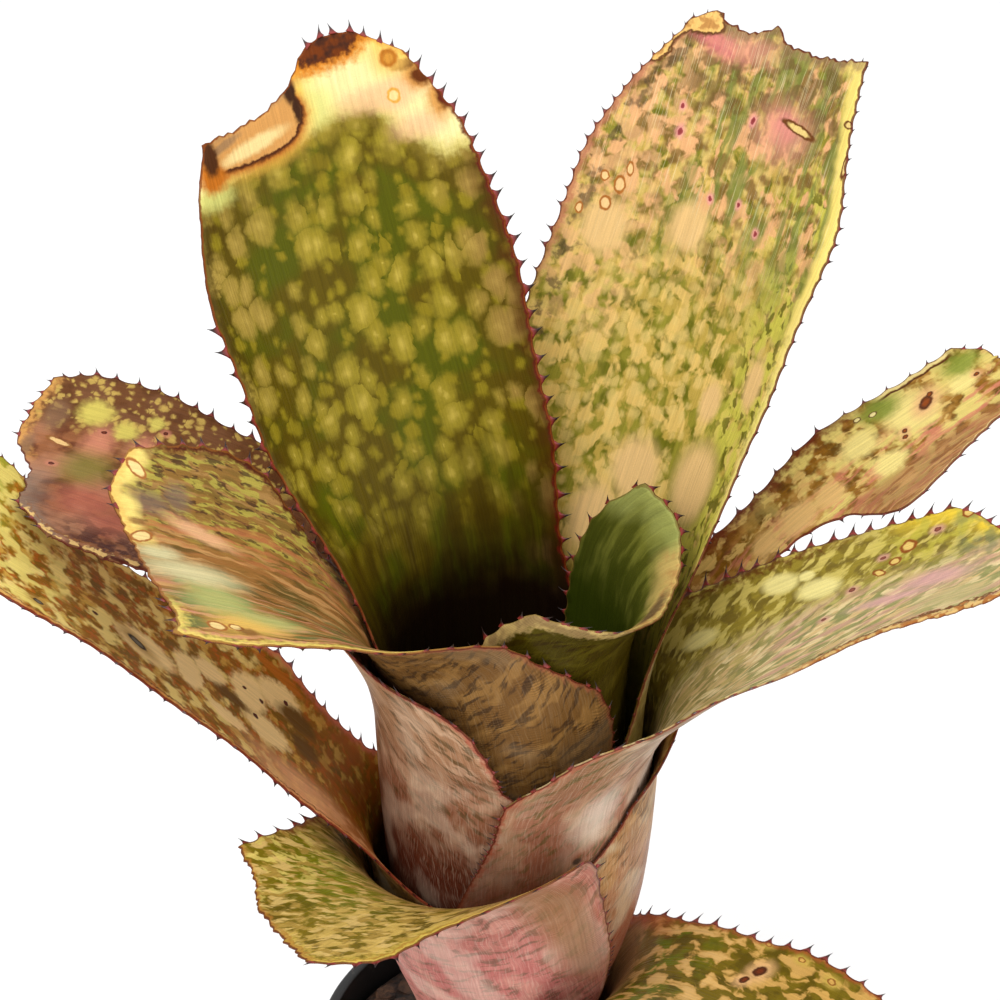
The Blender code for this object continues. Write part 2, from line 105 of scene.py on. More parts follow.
def through(knots, x):
    """A smooth curve through the knots that never overshoots: cubic pieces with harmonic-mean slopes."""
    kx, ky = np.array(knots, float).T
    h = np.diff(kx)
    slope = np.diff(ky) / h
    m = np.zeros_like(ky)
    same = slope[:-1] * slope[1:] > 0
    m[1:-1][same] = 2 * slope[:-1][same] * slope[1:][same] / (slope[:-1][same] + slope[1:][same])
    m[0], m[-1] = slope[0], slope[-1]
    x = np.clip(x, kx[0], kx[-1])
    i = np.clip(np.searchsorted(kx, x) - 1, 0, len(h) - 1)
    t = (x - kx[i]) / h[i]
    rise = (1 + 2 * t) * (1 - t) ** 2 * ky[i] + t * t * (3 - 2 * t) * ky[i + 1]
    return rise + t * (1 - t) ** 2 * h[i] * m[i] + t * t * (t - 1) * h[i] * m[i + 1]


# %% [markdown]
# Three kinds of faces come back in every piece: the squares of a grid, the walls between rings that are
# piled on each other, and the faces of one small shape repeated for hundreds of copies.

# %% Faces
def grid_faces(rows, columns):
    """Four-cornered faces of a grid whose points are numbered row by row."""
    i, j = np.meshgrid(np.arange(rows - 1), np.arange(columns - 1), indexing="ij")
    corner = (i * columns + j).ravel()
    return np.stack([corner, corner + 1, corner + columns + 1, corner + columns], 1)


def pile_faces(rings, sides):
    """The walls between rings of sides corners each, then the bottom and the top ring as one face each."""
    corner = np.arange(sides)
    after = (corner + 1) % sides
    level = np.arange(rings - 1)[:, None] * sides
    walls = np.stack([level + corner, level + after, level + after + sides, level + corner + sides], -1)
    return walls.reshape(-1, 4), corner[None, ::-1], (rings - 1) * sides + corner[None]


def for_copies(faces, count, points_each):
    """One shape's faces for count copies of it, whose points follow each other."""
    return (faces[None] + np.arange(count)[:, None, None] * points_each).reshape(-1, faces.shape[1])


# %% [markdown]
# ## The leaves' form
# Every leaf follows one rule. Up to its grip it is a sheath that lies on a flaring tube, one layer
# outside the leaf within. Past the grip its midrib leans out and its channel opens. It could be sculpted
# by hand, but ten leaves that nest without touching are easier to keep true as one formula with a table.
# Lengths are millimetres, and angles are degrees. Plus across is anticlockwise seen from above.

# %% The table of leaves
TUBE = [(78, 9.3), (98, 10.8), (112, 14.0), (132, 20.5), (152, 24.8), (175, 26.6), (205, 27.6), (250, 29.0)]
LAYER_PITCH = 1.5
TILT_EASE = 30.0
STEP = 0.5
TIP_POINTS = 161


def rows(text):
    """Rows of numbers written as plain text, with a slash between two rows."""
    return [tuple(float(word) for word in row.split()) for row in text.split("/") if row.strip()]


@dataclass
class Leaf:
    """One leaf. azimuth is where its midrib points, layer counts outwards from 0, foot and grip are heights.

    sheath rows: height, wrap clockwise, wrap anticlockwise, in degrees from the midrib.
    blade rows: along, lean from upright, roll, width clockwise and anticlockwise, channel radius likewise.
    end rows: place across from -1 to 1, and how far the tip is cut back there.
    bare: the stretch of the end, in the same -1 to 1, that carries no spines.
    waves: how far the blade's margins ripple. torn rows: margin, from, to along it, and depth of the bites.
    spines: how much wider apart and longer the spines are than by the common rule.
    outlines: closed curves that the paint uses, as centimetres across and along.
    """

    name: str
    slot: str
    azimuth: float
    layer: int
    foot: float
    grip: float
    sheath: str
    blade: str
    end: str = "-1 12 / -.6 4 / -.1 1.5 / 0 0 / .1 1.5 / .6 3.5 / 1 10"
    bare: tuple = (-0.45, 0.45)
    waves: float = 0.5
    torn: str = ""
    spines: tuple = (1.0, 1.0)
    outlines: dict = field(default_factory=dict)

    def __post_init__(self):
        for key in ("sheath", "blade", "end", "torn"):
            setattr(self, key, rows(getattr(self, key)))
        self.outlines = {key: rows(corners) for key, corners in self.outlines.items()}
        self.short = self.name[len("leaf_00_"):]


LEAVES = [
    Leaf("leaf_01_heart", "leaf_green", -38, 0, 88, 188, waves=0.2, spines=(0.85, 1.0),
         sheath="88 150 150 / 148 120 110 / 188 95 100",
         blade="27 2.5 0 40 46 23.8 25.8 / 45 19.5 0 36 45 24 26 / 63 58 0 26 39 26 28",
         end="-1 7 / -.7 3 / -.2 1.5 / 0 0 / .2 1.5 / .7 2.5 / 1 6"),
    Leaf("leaf_02_back_left", "leaf_olive", 128, 1, 85, 216,
         bare=(0.0, 1.0), spines=(1.15, 1.3), torn="1 88 150 .25",
         sheath="85 150 150 / 165 130 130 / 216 72 95",
         blade="""
            15 16 -4 34 36 36 36 / 40 27 -15 38 37.5 45 45 / 62 25.4 -18 39.5 41.2 50 50 / 80 24 -20 40.5
            41.5 55 55 / 115 21 -20 35.3 35.5 65 65 / 126 20.5 -19.3 30.5 30.8 68 68 / 134 20.2 -18.7 26
            29.5 71 71 / 145 20 -18 18 25 75 75""",
         end="-1 8 / -.85 3.5 / -.65 .2 / -.4 0 / -.2 .5 / 0 3.5 / .12 8 / .25 12 / .5 15.5 / .75 17 / 1 18",
         outlines={
             "lens": """
                .57 13.4 / .36 13 / .37 12.7 / .69 12.3 / 1.19 12.1 / 1.83 12 / 2.36 11.98 / 2.72 12 / 3.05
                12.35 / 3.4 13.2 / 2 13.9 / 1 14.4 / .6 14""",
             "scorch": """
                .2 13.9 / -.2 14.6 / -.72 14.9 / -1.2 14.8 / -1.5 14.35 / -1.38 14.1 / -1.13 13.9 / -.61
                13.8 / -.12 13.75""",
             "bleach": """
                4.5 11.2 / 3.56 11.3 / 2.76 11.6 / 1.84 11.85 / .61 12.15 / -.24 12.45 / -.71 12.5 / -1.31
                12.55 / -1.53 12.3 / -1.82 11.9 / -2.19 11.6 / -2.57 11.2 / -2.88 11 / -3.23 11.1 / -4.4
                11.5 / -4.5 15.5 / 4.5 15.5""",
         }),
    Leaf("leaf_03_front_left", "leaf_streaked", 203, 2, 84, 202,
         sheath="84 150 150 / 162 130 130 / 202 75 118",
         blade="""
            10 8.5 0 36 63.5 33 32 / 16 14.5 0 31 61.5 33.3 32 / 20 18.5 0 28 56 33.5 32 / 27 26 0 24.5 48
            34 32 / 41 42 0 22 42.5 36 45 / 52 49 0 27.5 41 38 65 / 62 54.5 0 35.5 39.5 40 90 / 72 58.5 0
            37.7 38.7 42 160 / 84 62 0 36 40 45 250 / 104 67 0 28 34 60 300""",
         end="-1 11 / -.7 5.5 / -.4 7 / 0 8.5 / .4 8 / .7 8 / 1 5"),
    Leaf("leaf_04_back_right", "leaf_cream", 46, 3, 83, 202, bare=(-0.9, 0.8), spines=(1.1, 0.75),
         sheath="83 150 150 / 160 120 120 / 188 95 92 / 202 82 77",
         blade="""
            10 9 0 42 37 33 34 / 28 22 0 40 40 38 40 / 53 25 0 39.8 43 49 49 / 70 26 0 36.3 44.2 56 56 / 118
            24 0 37.2 42.8 80 80 / 138 24 0 32.4 37.2 84 84 / 163 24 0 26.5 23 90 90""",
         end="-1 1.5 / -.7 3 / -.35 4 / -.1 3.5 / 0 3 / .1 0 / .2 1.5 / .35 3.5 / .6 3 / .8 .5 / 1 4",
         outlines={
             "strip": """
                2 16.3 / 1.62 15.85 / 2.03 15.62 / 2.53 15.55 / 2.82 15.2 / 3 14.7 / 3.6 14.7 / 3.5 15.9 /
                2.6 16.7""",
         }),
    Leaf("leaf_05_left", "leaf_red", 168, 4, 82.5, 202,
         bare=(-0.2, 0.6), spines=(1.0, 0.9), torn="1 66 115 1.3",
         sheath="82.5 150 150 / 160 130 130 / 195 84 110 / 202 70 98",
         blade="""
            6 7 0 28.5 58.5 36 36 / 14 15.5 0 25 56 36 38 / 18 21.5 0 24.2 51 36 40 / 22 27.5 0 24 37 36 42
            / 27 35 0 24 30 36 43 / 43 60 0 29 29 40 60 / 68 70 0 28 35 45 110 / 92 76 0 31.5 37 50 130 /
            106 81 0 32 33 56 130 / 120 86 0 27 27 60 130""",
         end="-1 2.5 / -.83 1 / -.68 0 / -.45 0 / -.22 1 / .03 6 / .2 9 / .4 10 / .7 12 / .85 18 / 1 24"),
    Leaf("leaf_06_right_front", "leaf_streaked", -15, 5, 82, 188, spines=(0.95, 1.25), torn="-1 64 130 1.5",
         sheath="82 150 150 / 150 108 120 / 168 96 106 / 180 88 97 / 188 83 90",
         blade="""
            8 13 0 50 48 36 36 / 18 25 4 43 36 36 36 / 35 45 4 28 29.5 44 40 / 60 53 1.5 24.5 27.2 53 45 /
            80 57 0 22 26.3 60 50 / 126 61 0 16 21 60 60""",
         end="-1 10 / -.6 2 / -.2 0 / .2 5 / .6 14 / .85 19 / 1 25"),
    Leaf("leaf_07_right_back", "leaf_cream", 20, 6, 81.8, 188, spines=(1.4, 0.85),
         sheath="81.8 150 150 / 150 120 120 / 188 58 70",
         blade="""
            20 25 12 15 22 38 50 / 45 44.5 11 9.5 11 45 60 / 66 54 3 10.5 13 52 70 / 78 58 1.5 14 15.2 56 75
            / 90 61 0 33 16.7 60 80 / 101 62 0 29 16.7 60 80 / 112 62.5 0 22.5 16 60 80 / 123 63 0 16.5 15.3
            60 80 / 136 64 0 11 14 60 80"""),
    Leaf("leaf_08_low_left", "leaf_red", 186, 7, 81.6, 160,
         sheath="81.6 150 150 / 136 120 120 / 160 70 76",
         blade="""
            16 27 0 22.5 28 46 60 / 28 34 0 21 25.5 60 100 / 40 40 0 22.8 24.5 80 150 / 49 41.2 1 27 26 100
            160 / 60 42.5 2 27 27.5 120 170 / 93 45.5 6 24 28.5 200 200 / 116 46.3 4.5 24.5 29 200 200 / 134
            47 3 30 27 200 200 / 168 48 0 26 22 200 200"""),
    Leaf("leaf_09_low_front", "leaf_olive", 222, 8, 81.4, 146, bare=(-1.0, 1.0),
         sheath="81.4 150 150 / 110 130 100 / 138 100 94 / 146 90 92",
         blade="""
            16 20 0 34 58 38.5 37 / 24 32.5 0 28 60 37 42 / 29 40 0 25 50 36 50 / 44 70 0 18.5 36 44 120 /
            56 84 0 18 35 50 200 / 64 88 0 16.5 30 50 200 / 72 90 0 15 20 50 200""",
         end="-1 14 / -.6 13 / 0 7 / .5 4.5 / 1 3"),
    Leaf("leaf_10_low_right", "leaf_olive", -34, 9, 81.2, 116,
         sheath="81.2 150 150 / 108 105 110 / 116 86 82",
         blade="""
            6 29 0 36 33 32.5 31 / 14 38 0 32 25.5 35.5 33 / 28 64 0 30 20 38 60 / 44 88 0 27 20 45 70 / 58
            95 0 25.5 22.3 47 70 / 72 102 0 24 22 50 70 / 112 114 0 18 16 60 70"""),
]
print(len(LEAVES), "leaves in the table")

# %% [markdown]
# The midrib is worked out first, as a path in the upright plane through the pot's axis. At each step it
# keeps where it is, which way is across the leaf and which way is in towards the plant. The cross-section
# is an arc to each side of it, so a point on the leaf is given by two lengths: along and across.

# %% The midrib and the cross-section
class Midrib:
    """The leaf's midrib, its cross-section and its margins, sampled every STEP along it."""

    def __init__(self, leaf):
        z_low = np.linspace(leaf.foot, leaf.grip, int((leaf.grip - leaf.foot) / STEP) + 1)
        r_low = through(TUBE, z_low) + leaf.layer * LAYER_PITCH
        s_low = running(np.hypot(np.diff(z_low), np.diff(r_low)))
        self.length = leaf.blade[-1][0]
        s_high = np.linspace(0, self.length, int(self.length / STEP) + 1)[1:]
        self.s = np.concatenate([s_low - s_low[-1], s_high])
        grip_radius = r_low[-1]
        slope = np.degrees(np.arctan2(r_low[-1] - r_low[-2], z_low[-1] - z_low[-2]))
        wrap = np.radians(leaf.sheath[-1][1:]) * grip_radius
        blade = [(0, slope, 0, *wrap, grip_radius, grip_radius), *leaf.blade]

        def column(i, change=float):
            return through([(row[0], change(row[i])) for row in blade], s_high)

        lean = np.radians(column(1))
        step = np.diff(s_high, prepend=0)
        radius = np.concatenate([r_low, r_low[-1] + np.cumsum(np.sin(lean) * step)])
        height = np.concatenate([z_low, z_low[-1] + np.cumsum(np.cos(lean) * step)])
        level = np.zeros(len(s_low))
        ease = np.clip(self.s / TILT_EASE, 0, 1)
        tilt = np.concatenate([level, lean]) * ease * ease * (3 - 2 * ease)
        roll = np.concatenate([level, np.radians(column(2))])
        self.curve = [np.concatenate([1 / r_low, column(i, lambda v: 1 / v)]) for i in (5, 6)]
        around = [through([(row[0], row[i]) for row in leaf.sheath], z_low) for i in (1, 2)]
        self.width = [np.concatenate([np.radians(around[i]) * r_low, column(3 + i)]) for i in (0, 1)]

        bearing = np.radians(leaf.azimuth)
        out = np.array([np.cos(bearing), np.sin(bearing), 0])
        side = np.array([-np.sin(bearing), np.cos(bearing), 0])
        up = np.array([0, 0, 1.0])
        tilt, roll, radius, height = (values[:, None] for values in (tilt, roll, radius, height))
        inward = -np.cos(tilt) * out + np.sin(tilt) * up
        self.point = radius * out + height * up
        self.across = np.cos(roll) * side + np.sin(roll) * inward
        self.normal = np.cos(roll) * inward - np.sin(roll) * side

    def at(self, values, s):
        if values.ndim == 1:
            return np.interp(s, self.s, values)
        return np.stack([np.interp(s, self.s, values[:, i]) for i in range(3)], -1)

    def margin(self, s, side):
        """How far the margin lies from the midrib: side 0 is clockwise and 1 anticlockwise."""
        return np.where(side, self.at(self.width[1], s), self.at(self.width[0], s))

    def place(self, s, arc):
        """The point at s along and arc across: the arc bends with the channel's own radius on its side."""
        bend = np.where(arc < 0, self.at(self.curve[0], s), self.at(self.curve[1], s))
        rise = (1 - np.cos(bend * arc)) / bend
        run = np.sin(bend * arc) / bend
        lifted = self.at(self.point, s) + rise[..., None] * self.at(self.normal, s)
        return lifted + run[..., None] * self.at(self.across, s)


# %% [markdown]
# ## Spines along the margins
# The real margin is a row of crescents between hooked spines. The spines are close together where the
# blade leaves the sheath, wide apart along its middle and close again at the tip. Walking along the edge
# with a step that follows this rule gives their places, and each crescent then dips between two of them.

# %% Where the spines stand
SPINE_GAPS = [(-30, 1.5), (-6, 1.8), (6, 2.7), (28, 4.7), (90, 5.2), (125, 3.6), (170, 3.0)]
SPINE_LENGTHS = [(-30, 0.9), (0, 1.7), (30, 3.0), (90, 2.7), (170, 1.7)]
SPINES_START = -14.0
SPINE_STRAY = 0.14
CRESCENT_DEPTH = 0.75
WIDEST_CRESCENT = 10


def edge_path(leaf, rib):
    """The edge as fine points (across, along): up the anticlockwise margin, over the tip, down the other.

    The second result tells where each point is: 2 and -2 on the margins, and 1 to -1 across the tip.
    """
    up = np.arange(rib.s[0], rib.length - leaf.end[-1][1], STEP)
    down = np.append(np.arange(rib.length - leaf.end[0][1], rib.s[0], -STEP), rib.s[0])
    u = np.linspace(1, -1, TIP_POINTS)
    s_tip = rib.length - through(leaf.end, u)
    parts = [(rib.margin(up, 1), up), (u * rib.margin(s_tip, u >= 0), s_tip), (-rib.margin(down, 0), down)]
    where = np.concatenate([np.full(len(up), 2.0), u, np.full(len(down), -2.0)])
    return np.concatenate([np.stack(part, 1) for part in parts]), where


def spine_places(leaf, rib, rng):
    """Points, outward directions and place marks of the spines, spaced along the edge by SPINE_GAPS."""
    edge, where = edge_path(leaf, rib)
    run = running(np.hypot(*np.diff(edge, axis=0).T))
    count = running(np.diff(run) / (through(SPINE_GAPS, edge[1:, 1]) * leaf.spines[0]))
    ticks = np.arange(1, count[-1])
    q = np.interp(ticks + rng.uniform(-SPINE_STRAY, SPINE_STRAY, len(ticks)), count, run)
    before, point, after = (
        np.stack([np.interp(q + d, run, edge[:, i]) for i in (0, 1)], 1) for d in (-1, 0, 1))
    ahead = unit(after - before)
    outward = np.stack([ahead[:, 1], -ahead[:, 0]], 1)
    mark = np.interp(q, run, where)
    keep = (point[:, 1] > SPINES_START) & ((np.abs(mark) > 1) | (mark < leaf.bare[0]) | (mark > leaf.bare[1]))
    for side, low, high, _ in leaf.torn:
        keep &= ~((mark * side > 1) & (point[:, 1] > low) & (point[:, 1] < high))
    return point[keep], outward[keep], mark[keep]


def crescents(x, teeth):
    """How far the edge dips at x: nothing at a tooth, CRESCENT_DEPTH half-way to the next one."""
    if len(teeth) < 2:
        return np.zeros_like(x)
    teeth = np.sort(teeth)
    share = np.interp(x, teeth, np.arange(len(teeth))) % 1
    gap = np.interp(x, teeth[:-1], np.diff(teeth))
    depth = np.minimum(CRESCENT_DEPTH, 0.2 * gap)
    inside = (x > teeth[0]) & (x < teeth[-1]) & (gap < WIDEST_CRESCENT)
    return np.where(inside, depth * (1 - np.abs(2 * share - 1) ** 2.2), 0)


# %% [markdown]
# ## Leaf surfaces
# Each leaf is one grid, laid out by rows from foot to tip and columns from margin to margin. The rows'
# ends follow the crescents and the bitten tips. Two copies, pushed apart along the surface's own
# direction and thinner at the margins, are joined round the rim into one closed skin.

# %% Ripples, torn edges and outlines
def torn_edge(leaf, s, side):
    """Ragged bites where a margin has dried: three waves that don't repeat, cut off below nothing."""
    depth = np.zeros_like(s)
    for margin, low, high, bite in leaf.torn:
        fade = np.clip((s - low) / 4, 0, 1) * np.clip((high - s) / 4, 0, 1)
        waves = np.sin(s * 0.71 + low) + 0.8 * np.sin(s * 1.63 + high) + 0.5 * np.sin(s * 3.1)
        depth += (side == margin) * fade * bite * np.clip(0.55 + 0.35 * waves, 0, None)
    return depth


def ripple(leaf, s, arc, u):
    """Height along the normal: low waves in the blade that grow towards the margins."""
    seed = leaf.azimuth
    swell = 0.5 * np.sin(s / 13 + seed) * np.cos(arc / 11 - seed) + 0.25 * np.sin(s / 6.1 - arc / 7 + seed)
    frill = np.abs(u) ** 3 * np.sin(s / 7.3 + 1.7 * np.sign(u) + seed)
    return np.clip((s - 8) / 40, 0, 1) * leaf.waves * (swell + 1.3 * frill)


def outline_distance(points, corners):
    """Distance from each point to a smooth closed curve through the corners, plus inside it.

    The curve is made of cubics that run through the corners, parallel at each one to the line between
    its two neighbours, and cut into short lines. A point is inside where a level ray from it crosses
    an odd number of the lines.
    """
    a, b, c, d = (np.roll(np.array(corners), shift, axis=0)[:, None] for shift in (1, 0, -1, -2))
    t = np.arange(0, 1, 0.125)[None, :, None]
    curve = b + 0.5 * t * (c - a + t * (2 * a - 5 * b + 4 * c - d + t * (3 * b - a - 3 * c + d)))
    curve = curve.reshape(-1, 2)
    after = np.roll(curve, -1, axis=0)
    ahead = after - curve
    away = points[:, None] - curve
    share = np.clip((away * ahead).sum(2) / (ahead ** 2).sum(1), 0, 1)
    distance = np.linalg.norm(away - share[..., None] * ahead, axis=2).min(1)
    y = points[:, None, 1]
    crosses = (curve[:, 1] > y) != (after[:, 1] > y)
    crossing = curve[:, 0] + (y - curve[:, 1]) / np.where(crosses, ahead[:, 1], 1.0) * ahead[:, 0]
    inside = (crosses & (points[:, None, 0] < crossing)).sum(1) % 2 == 1
    return np.where(inside, distance, -distance)


# %% A leaf's skin
ACROSS = 49
ROW_STEP = 0.85
HIDDEN_STEP = 3.0
HIDDEN_BELOW = -75.0
HALF_THICK = 0.5
HALF_THIN = 0.26
THINS_OVER = 4


def leaf_grid(leaf, rib, teeth, mark):
    """Places along and across of the grid's points, and how far each is from its margin and from the tip.

    Rows are HIDDEN_STEP apart deep in the sheath and ROW_STEP where the leaf shows. They are then
    stretched to the tip, which dips between its spines and is ragged where it is bare.
    """
    u = np.linspace(-1, 1, ACROSS)
    count = running(np.diff(rib.s) / np.where(rib.s[1:] < HIDDEN_BELOW, HIDDEN_STEP, ROW_STEP))
    levels = np.interp(np.linspace(0, count[-1], int(count[-1]) + 1), count, rib.s)
    tip = rib.length - through(leaf.end, u)
    end_width = rib.margin(tip, u >= 0).mean()
    tip = tip - crescents(u * end_width, mark[np.abs(mark) < 1] * end_width) * (np.abs(u) < 0.98)
    ragged = 0.35 * np.sin(u * 61) + 0.25 * np.sin(u * 23 + 1)
    tip = tip + np.where((u > leaf.bare[0]) & (u < leaf.bare[1]), ragged, 0)
    share = (levels - levels[0]) / (levels[-1] - levels[0])
    s = levels[0] + share[:, None] * (tip - levels[0])
    wide = rib.margin(s, u >= 0)
    for side in (1, -1):
        dip = crescents(s, teeth[mark * side > 1, 1]) + torn_edge(leaf, s, side)
        wide = wide - (u * side > 0) * dip * u ** 2
    arc = u * wide
    return u, s, arc, wide - np.abs(arc), tip - s


def make_leaf(leaf):
    rib = Midrib(leaf)
    teeth, outward, mark = spine_places(leaf, rib, np.random.default_rng(int(leaf.azimuth) + 500))
    u, s, arc, side_gap, tip_gap = leaf_grid(leaf, rib, teeth, mark)
    middle = rib.place(s, arc)
    inward = unit(np.cross(np.gradient(middle, axis=0), np.gradient(middle, axis=1)))
    middle = middle + ripple(leaf, s, arc, u)[..., None] * inward
    edge = np.minimum(side_gap, tip_gap)
    half = HALF_THIN + (HALF_THICK - HALF_THIN) * np.clip(edge / THINS_OVER, 0, 1) ** 0.5
    faces = [middle - half[..., None] * inward, middle + half[..., None] * inward]

    count = s.size
    index = np.arange(count).reshape(s.shape)
    outside = grid_faces(*s.shape)
    ring = np.concatenate([index[0, :-1], index[:-1, -1], index[-1, :0:-1], index[:0:-1, 0]])
    after = np.roll(ring, -1)
    rim = np.stack([after, ring, ring + count, after + count], 1)
    place = np.stack([arc, s, edge], -1).reshape(-1, 3) * CM_PER_MM
    reach = np.stack([tip_gap * CM_PER_MM, np.zeros_like(s)], -1).reshape(-1, 2)
    reach = np.concatenate([reach, reach + [0, 1]])
    fields = {"place": np.tile(place, (2, 1)), "reach": np.pad(reach, ((0, 0), (0, 1)))}
    for key, corners in leaf.outlines.items():
        fields[key] = np.tile(outline_distance(place[:, :2], corners), 2)
    points = np.concatenate([face.reshape(-1, 3) for face in faces])
    polygons = [outside, outside[:, ::-1] + count, rim]
    thing = add_mesh(leaf.name.replace("leaf", "blade"), points, polygons, fields)
    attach(thing, "root")
    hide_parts(leaf.name)
    return thing, rib, teeth, outward


# %% [markdown]
# A spine is a small hooked thorn. It is wide and flat where it grows out of the margin, so its flanks
# run into the crescents on both sides, and it narrows quickly to a needle that leans towards the tip.
# All the thorns of a leaf are one array sum: places, times rings up the thorn, times corners round it.

# %% The spines
THORN_RINGS = np.array([0.0, 0.1, 0.25, 0.45, 0.7, 0.9])
THORN_SIDES = 6
THORN_SINK = 0.55
THORN_HOOK = 0.34
PROBE = 0.4


def make_spines(leaf, rib, teeth, outward):
    """Thorns: a ring's width falls as 0.76 (1-t)^3 + 0.24 (1-t), and its hook grows as t^1.6."""
    rng = np.random.default_rng(int(leaf.azimuth) + 900)
    across, along = teeth.T
    length = through(SPINE_LENGTHS, along) * leaf.spines[1] * rng.uniform(0.78, 1.15, len(teeth))
    base = 0.48 * np.minimum(length, 0.62 * leaf.spines[0] * through(SPINE_GAPS, along))
    to_side = (rib.place(along, across + PROBE) - rib.place(along, across - PROBE)) / (2 * PROBE)
    to_tip = (rib.place(along + PROBE, across) - rib.place(along - PROBE, across)) / (2 * PROBE)
    out = unit(outward[:, :1] * to_side + outward[:, 1:] * to_tip)
    ahead = np.cross(unit(np.cross(to_side, to_tip)), out)
    ahead *= np.sign((ahead * to_tip).sum(1) + 1e-9)[:, None]
    flat = np.cross(out, ahead)
    lean = rng.normal(0, 0.1, (len(teeth), 1))
    lift = ripple(leaf, along, across, np.sign(across))
    here = rib.place(along, across) + lift[:, None] * unit(np.cross(to_tip, to_side))

    t = THORN_RINGS[None, :, None]
    angle = np.arange(THORN_SIDES) * 2 * np.pi / THORN_SIDES
    long = length[:, None, None]
    wide = base[:, None, None] * (0.76 * (1 - t) ** 3 + 0.24 * (1 - t)) + 0.02
    thick = 0.24 * (1 - t) ** 0.9 + 0.02
    ways = {
        "out": (out, long * t - THORN_SINK),
        "hook": (ahead, THORN_HOOK * long * t ** 1.6 + wide * np.cos(angle)),
        "swing": (flat, lean[:, :, None] * long * t + thick * np.sin(angle)),
    }
    rings = here[:, None, None] + sum(amount[..., None] * way[:, None, None] for way, amount in ways.values())
    apex = here + (length - THORN_SINK)[:, None] * out + (THORN_HOOK * length)[:, None] * ahead
    apex = apex + (lean[:, 0] * length)[:, None] * flat
    per_thorn = len(THORN_RINGS) * THORN_SIDES + 1
    points = np.concatenate([rings.reshape(len(teeth), -1, 3), apex[:, None]], 1).reshape(-1, 3)

    walls, bottom, top = pile_faces(len(THORN_RINGS), THORN_SIDES)
    cap = np.stack([top[0], np.roll(top[0], -1), np.full(THORN_SIDES, per_thorn - 1)], 1)
    faces = [for_copies(part, len(teeth), per_thorn) for part in (walls, cap, bottom)]
    height = np.append(np.repeat(THORN_RINGS, THORN_SIDES), 1.0)
    fields = {"height": np.tile(height, len(teeth))}
    thing = add_mesh(leaf.name.replace("leaf", "spines"), points, faces, fields)
    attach(thing, "root")
    return thing

# %% [markdown]
# ## Paint
# Leaf colours are laid down in coats, as a painter would: a ground, then blotches, streaks, dried edges
# and spots, each through a mask. The masks come from shader node groups that are built once. They read
# two vectors kept on each leaf's points, so the pattern follows the leaf however it bends: place is
# across, along and distance from the edge, and reach is distance from the tip and which face. Lengths in
# them are centimetres. All noise on the leaves is flat, in two dimensions, because the pattern lies on a
# surface, and flat noise takes a third of the time of solid noise.

# %% Short ways to wire nodes
class Value:
    """A node's output that arithmetic works on: each sign adds one Math node."""

    def __init__(self, wires, socket):
        self.wires = wires
        self.socket = socket

    def __add__(self, other):
        return self.wires.math("ADD", self, other)

    def __sub__(self, other):
        return self.wires.math("SUBTRACT", self, other)

    def __rsub__(self, other):
        return self.wires.math("SUBTRACT", other, self)

    def __mul__(self, other):
        return self.wires.math("MULTIPLY", self, other)

    def __truediv__(self, other):
        return self.wires.math("DIVIDE", self, other)

    def __abs__(self):
        return self.wires.math("ABSOLUTE", self)


class Wires:
    """Short ways to add nodes to a tree. A value may be a number, a colour or another node's output."""

    def __init__(self, tree):
        self.tree = tree

    def set(self, socket, value):
        if isinstance(value, Value):
            self.tree.links.new(value.socket, socket)
        elif value is not None:
            socket.default_value = value

    def node(self, kind, values=(), out=0, **settings):
        """Adds a node. Gives its output called out, or a list of outputs where out is a tuple."""
        node = self.tree.nodes.new("ShaderNode" + kind)
        for key, value in settings.items():
            setattr(node, key, value)
        for key, value in dict(values).items():
            self.set(node.inputs[key], value)
        if isinstance(out, tuple):
            return [Value(self, node.outputs[key]) for key in out]
        return Value(self, node.outputs[out])

    def math(self, operation, *values):
        return self.node("Math", enumerate(values), operation=operation)

    def vector(self, operation, a, b):
        return self.node("VectorMath", enumerate([a, b]), operation=operation)

    def scaled(self, vector, amount):
        return self.node("VectorMath", {0: vector, "Scale": amount}, operation="SCALE")

    def join(self, x, y):
        return self.node("CombineXYZ", enumerate([x, y]))

    def split(self, vector):
        return self.node("SeparateXYZ", {0: vector}, (0, 1, 2))

    def kept(self, name, out="Fac"):
        """A value that is kept on the mesh's points."""
        return self.node("Attribute", out=out, attribute_name=name)

    def step(self, value, low, high):
        """A smooth step: 0 at low and 1 at high, and the other way round where low is the larger."""
        values = {"Value": value, "From Min": low, "From Max": high}
        return self.node("MapRange", values, interpolation_type="SMOOTHSTEP")

    def noise(self, vector, scale=1.0, detail=2.0, rough=0.5, flat="2D", out="Fac"):
        values = {"Vector": vector, "Scale": scale, "Detail": detail, "Roughness": rough}
        return self.node("TexNoise", values, out, noise_dimensions=flat)

    def mixed(self, share, a, b, **settings):
        return self.node("Mix", {0: share, 6: a, 7: b}, 2, data_type="RGBA", **settings)


class Finish(Wires):
    """A new material."""

    def __init__(self, name):
        self.material = bpy.data.materials.new(name)
        self.material.use_nodes = True
        super().__init__(self.material.node_tree)
        self.shader = self.tree.nodes["Principled BSDF"].inputs

    def done(self, colour, roughness, height=None, strength=0.0, distance=0.0):
        """Wires the shader: its colour, its roughness and a bump from the height."""
        self.set(self.shader["Base Color"], colour)
        self.set(self.shader["Roughness"], roughness)
        if height:
            bump = {"Strength": strength, "Distance": distance, "Height": height}
            self.set(self.shader["Normal"], self.node("Bump", bump, "Normal"))
        return self.material


